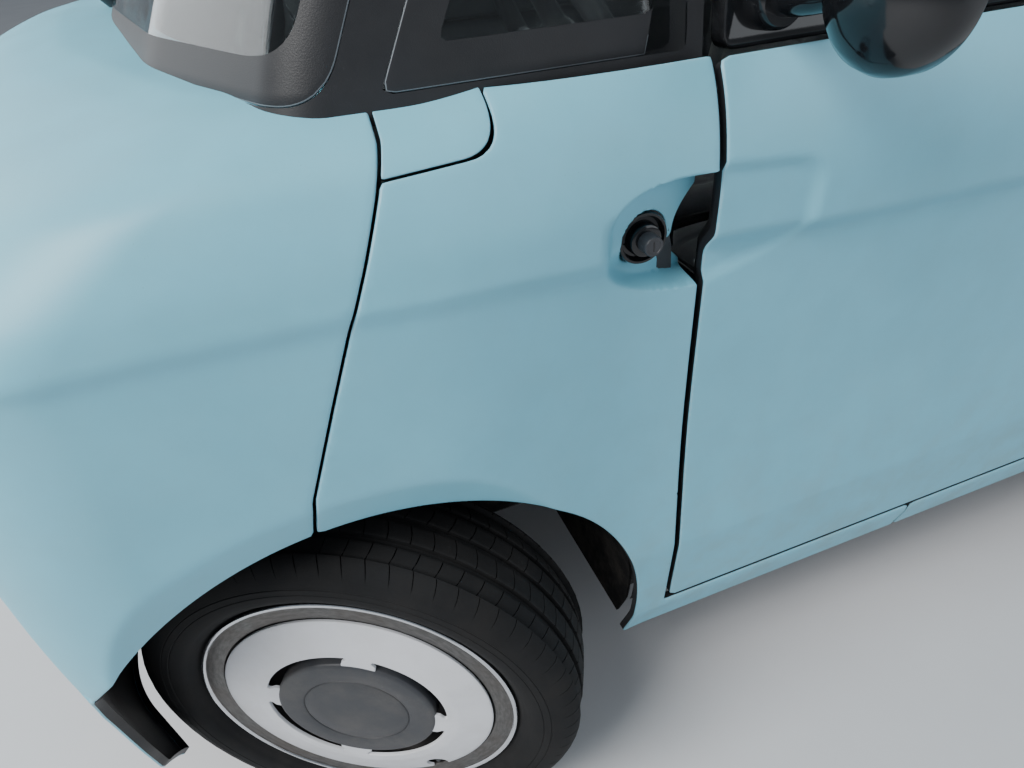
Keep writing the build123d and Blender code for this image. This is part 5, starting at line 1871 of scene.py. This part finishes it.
@dataclass
class Steering:
    """Steering wheel: grip, four spokes, pad and column."""

    centre: Triple = (430.0, 235.0, 880.0)
    radius: float = 175.0
    tilt: float = -62.0

    def put(self, p: Array) -> Array:
        """Points of the wheel's own frame, its axis along Z, placed in the car's."""
        return turned_about_y(p, math.radians(self.tilt)) + np.array(self.centre)

    def build(self) -> None:
        """Make the steering wheel."""
        a, t = circle(120)[:, None], circle(20)
        r = 14.0 + 0.8 * np.cos(a * 4)
        ring = ring_points(self.radius + r * np.cos(t), r * np.sin(t), a)[..., [0, 2, 1]]
        grip = grid_patch(ring, wrap_rows=True, wrap_cols=True)
        hub = turned_patch([(-20, 0.01), (-20, 44), (-10, 48), (14, 46), (20, 38), (22, 0.01)], 64, (0, 0, 0))
        hub = hub.moved(lambda p: p[..., [0, 2, 1]]).turned_over()
        parts = [grip.outward(self.from_core), hub]
        for k in range(4):
            spoke = smooth_path([(38, 0, 4), (90, 0, 1), (140, 0, -1), (166, 0, 0)], 12)
            c, s = math.cos(k * math.pi / 2), math.sin(k * math.pi / 2)
            path = np.stack([spoke[:, 0] * c, spoke[:, 0] * s, spoke[:, 2]], -1)
            parts.append(tube(path, np.linspace(15, 10, 12), 14))
        parts.append(tube(np.array([(0, 0, -12), (0, 0, -60), (0, 0, -120.0)]), np.array([30, 26, 24.0]), 32))
        Piece("steering_set", "root", (SHELL,), "black_plastic", ["steering_wheel"]).add(
            *(p.moved(self.put) for p in parts)).build(40)

    def from_core(self, middle: Array) -> Array:
        """Way from the grip's own middle line to points on it."""
        flat = middle * np.array([1, 1, 0])
        return middle - flat / np.linalg.norm(flat, axis=1, keepdims=True) * self.radius


class Carried:
    """Frame nodes whose shape is right and that only get a finish."""

    finishes: dict[str, Finish] = {
        "arch_liners_front": LINER, "arch_liners_rear": LINER, "battery_box": HOUSING, "bulkheads": DASH,
        "chassis_rails": STEEL, "dashboard": DASH, "door_hinges": STEEL, "drive_unit": HOUSING, "floor_pan": CARPET,
        "front_suspension": STEEL, "rear_axle": STEEL, "knuckle_left": STEEL, "knuckle_right": STEEL,
        "seat_base_left": SHELL, "seat_base_right": SHELL,
    }

    @classmethod
    def build(cls) -> None:
        """Dress the carried nodes."""
        for name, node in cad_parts.items():
            if name in cls.finishes and not node.hide_render:
                node.data.materials.clear()
                node.data.materials.append(material_of(cls.finishes[name]))
                log.info("%s: carried node", name)


# ---------------------------------------------------------------- floor, light and camera


@dataclass
class Studio:
    """Plain pale floor, soft light and the camera."""

    place: Triple = (0.8532, 1.1653, 1.0828)
    yaw: float = -108.31
    pitch: float = 36.29
    roll: float = -4.71
    focal: float = 699.9

    def build(self) -> None:
        """Set up floor, lamps, world and camera."""
        self.floor()
        for name, place, size, power, colour in (
                ("key", (3.6, 1.6, 3.9), 2.4, 300.0, (1.0, 0.985, 0.96)),
                ("fill", (-2.6, 3.6, 2.2), 3.4, 70.0, (0.90, 0.95, 1.0)),
                ("front", (3.6, -2.6, 2.4), 3.0, 60.0, (0.96, 0.98, 1.0)),
                ("back", (-1.6, -4.0, 3.0), 3.6, 110.0, (1.0, 1.0, 1.0))):
            self.light(name, place, size, power, colour)
        world = bpy.data.worlds.new("studio")
        world.use_nodes = True
        sky = world.node_tree.nodes["Background"].inputs
        sky[0].default_value, sky[1].default_value = (0.78, 0.86, 0.95, 1), 0.30
        bpy.context.scene.world = world
        self.camera()

    def floor(self) -> None:
        """A wide pale floor with a faint mottle."""
        made, sheet, shader = start("studio_floor")
        tone = sheet.noise(sheet.place(), 0.4, 6.0, 0.6)
        colour = sheet.blend(tone, (0.56, 0.57, 0.59, 1), (0.66, 0.67, 0.69, 1))
        sheet.fill(shader, Base_Color=colour, Roughness=0.85)
        line = np.linspace(-14000, 14000, 3)
        patch = grid_patch(np.insert(plane(line, line), 2, 0.0, axis=-1)).faced((0, 0, 1))
        mesh = bpy.data.meshes.new("studio_floor")
        mesh.from_pydata(patch.points * MM, [], patch.quads.tolist())
        mesh.materials.append(made)
        ground = bpy.data.objects.new("studio_floor", mesh)
        bpy.context.scene.collection.objects.link(ground)

    def light(self, name: str, place: Sequence[float], size: float, power: float, colour: Sequence[float]) -> None:
        """A square soft lamp that faces the car."""
        data = bpy.data.lights.new(name, "AREA")
        data.shape, data.size, data.energy, data.color = "SQUARE", size, power, colour
        lamp = bpy.data.objects.new(name, data)
        bpy.context.scene.collection.objects.link(lamp)
        lamp.location = place
        way = np.array([0.2, 0.0, 0.5]) - np.array(place)
        flat = math.hypot(way[0], way[1])
        lamp.rotation_euler = (math.atan2(flat, -way[2]), 0.0, math.atan2(way[1], way[0]) - math.pi / 2)

    def camera(self) -> None:
        """Camera with yaw, pitch and roll; its focal length is in pixels of a 1024 wide image."""
        yaw, pitch, roll = (math.radians(v) for v in (self.yaw, self.pitch, self.roll))
        ahead = np.array([math.cos(pitch) * math.cos(yaw), math.cos(pitch) * math.sin(yaw), -math.sin(pitch)])
        right = np.cross(ahead, [0, 0, 1.0])
        right /= np.linalg.norm(right)
        up = np.cross(right, ahead)
        c, s = math.cos(roll), math.sin(roll)
        r, u = c * right + s * up, -s * right + c * up
        data = bpy.data.cameras.new("camera")
        data.sensor_width = 36.0
        data.lens = self.focal / 1024 * 36.0
        data.clip_start, data.clip_end = 0.02, 100.0
        view = bpy.data.objects.new("camera", data)
        bpy.context.scene.collection.objects.link(view)
        turn = np.eye(4)
        turn[:3] = np.stack([r, u, -ahead, self.place], 1)
        view.matrix_world = Matrix(turn.tolist())
        bpy.context.scene.camera = view


def main() -> None:
    """Build every sub-assembly in order, then the studio."""
    logging.basicConfig(level=logging.INFO, format="%(message)s")
    for part in (EndPanels(), CornerPanels(), Doors(), Greenhouse(), Wheels(), Lamps(), Mirrors(), Wiper(), Seats(),
                 Steering(), Carried, Studio()):
        part.build()
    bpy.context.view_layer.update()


if __name__ == "__main__":
    main()
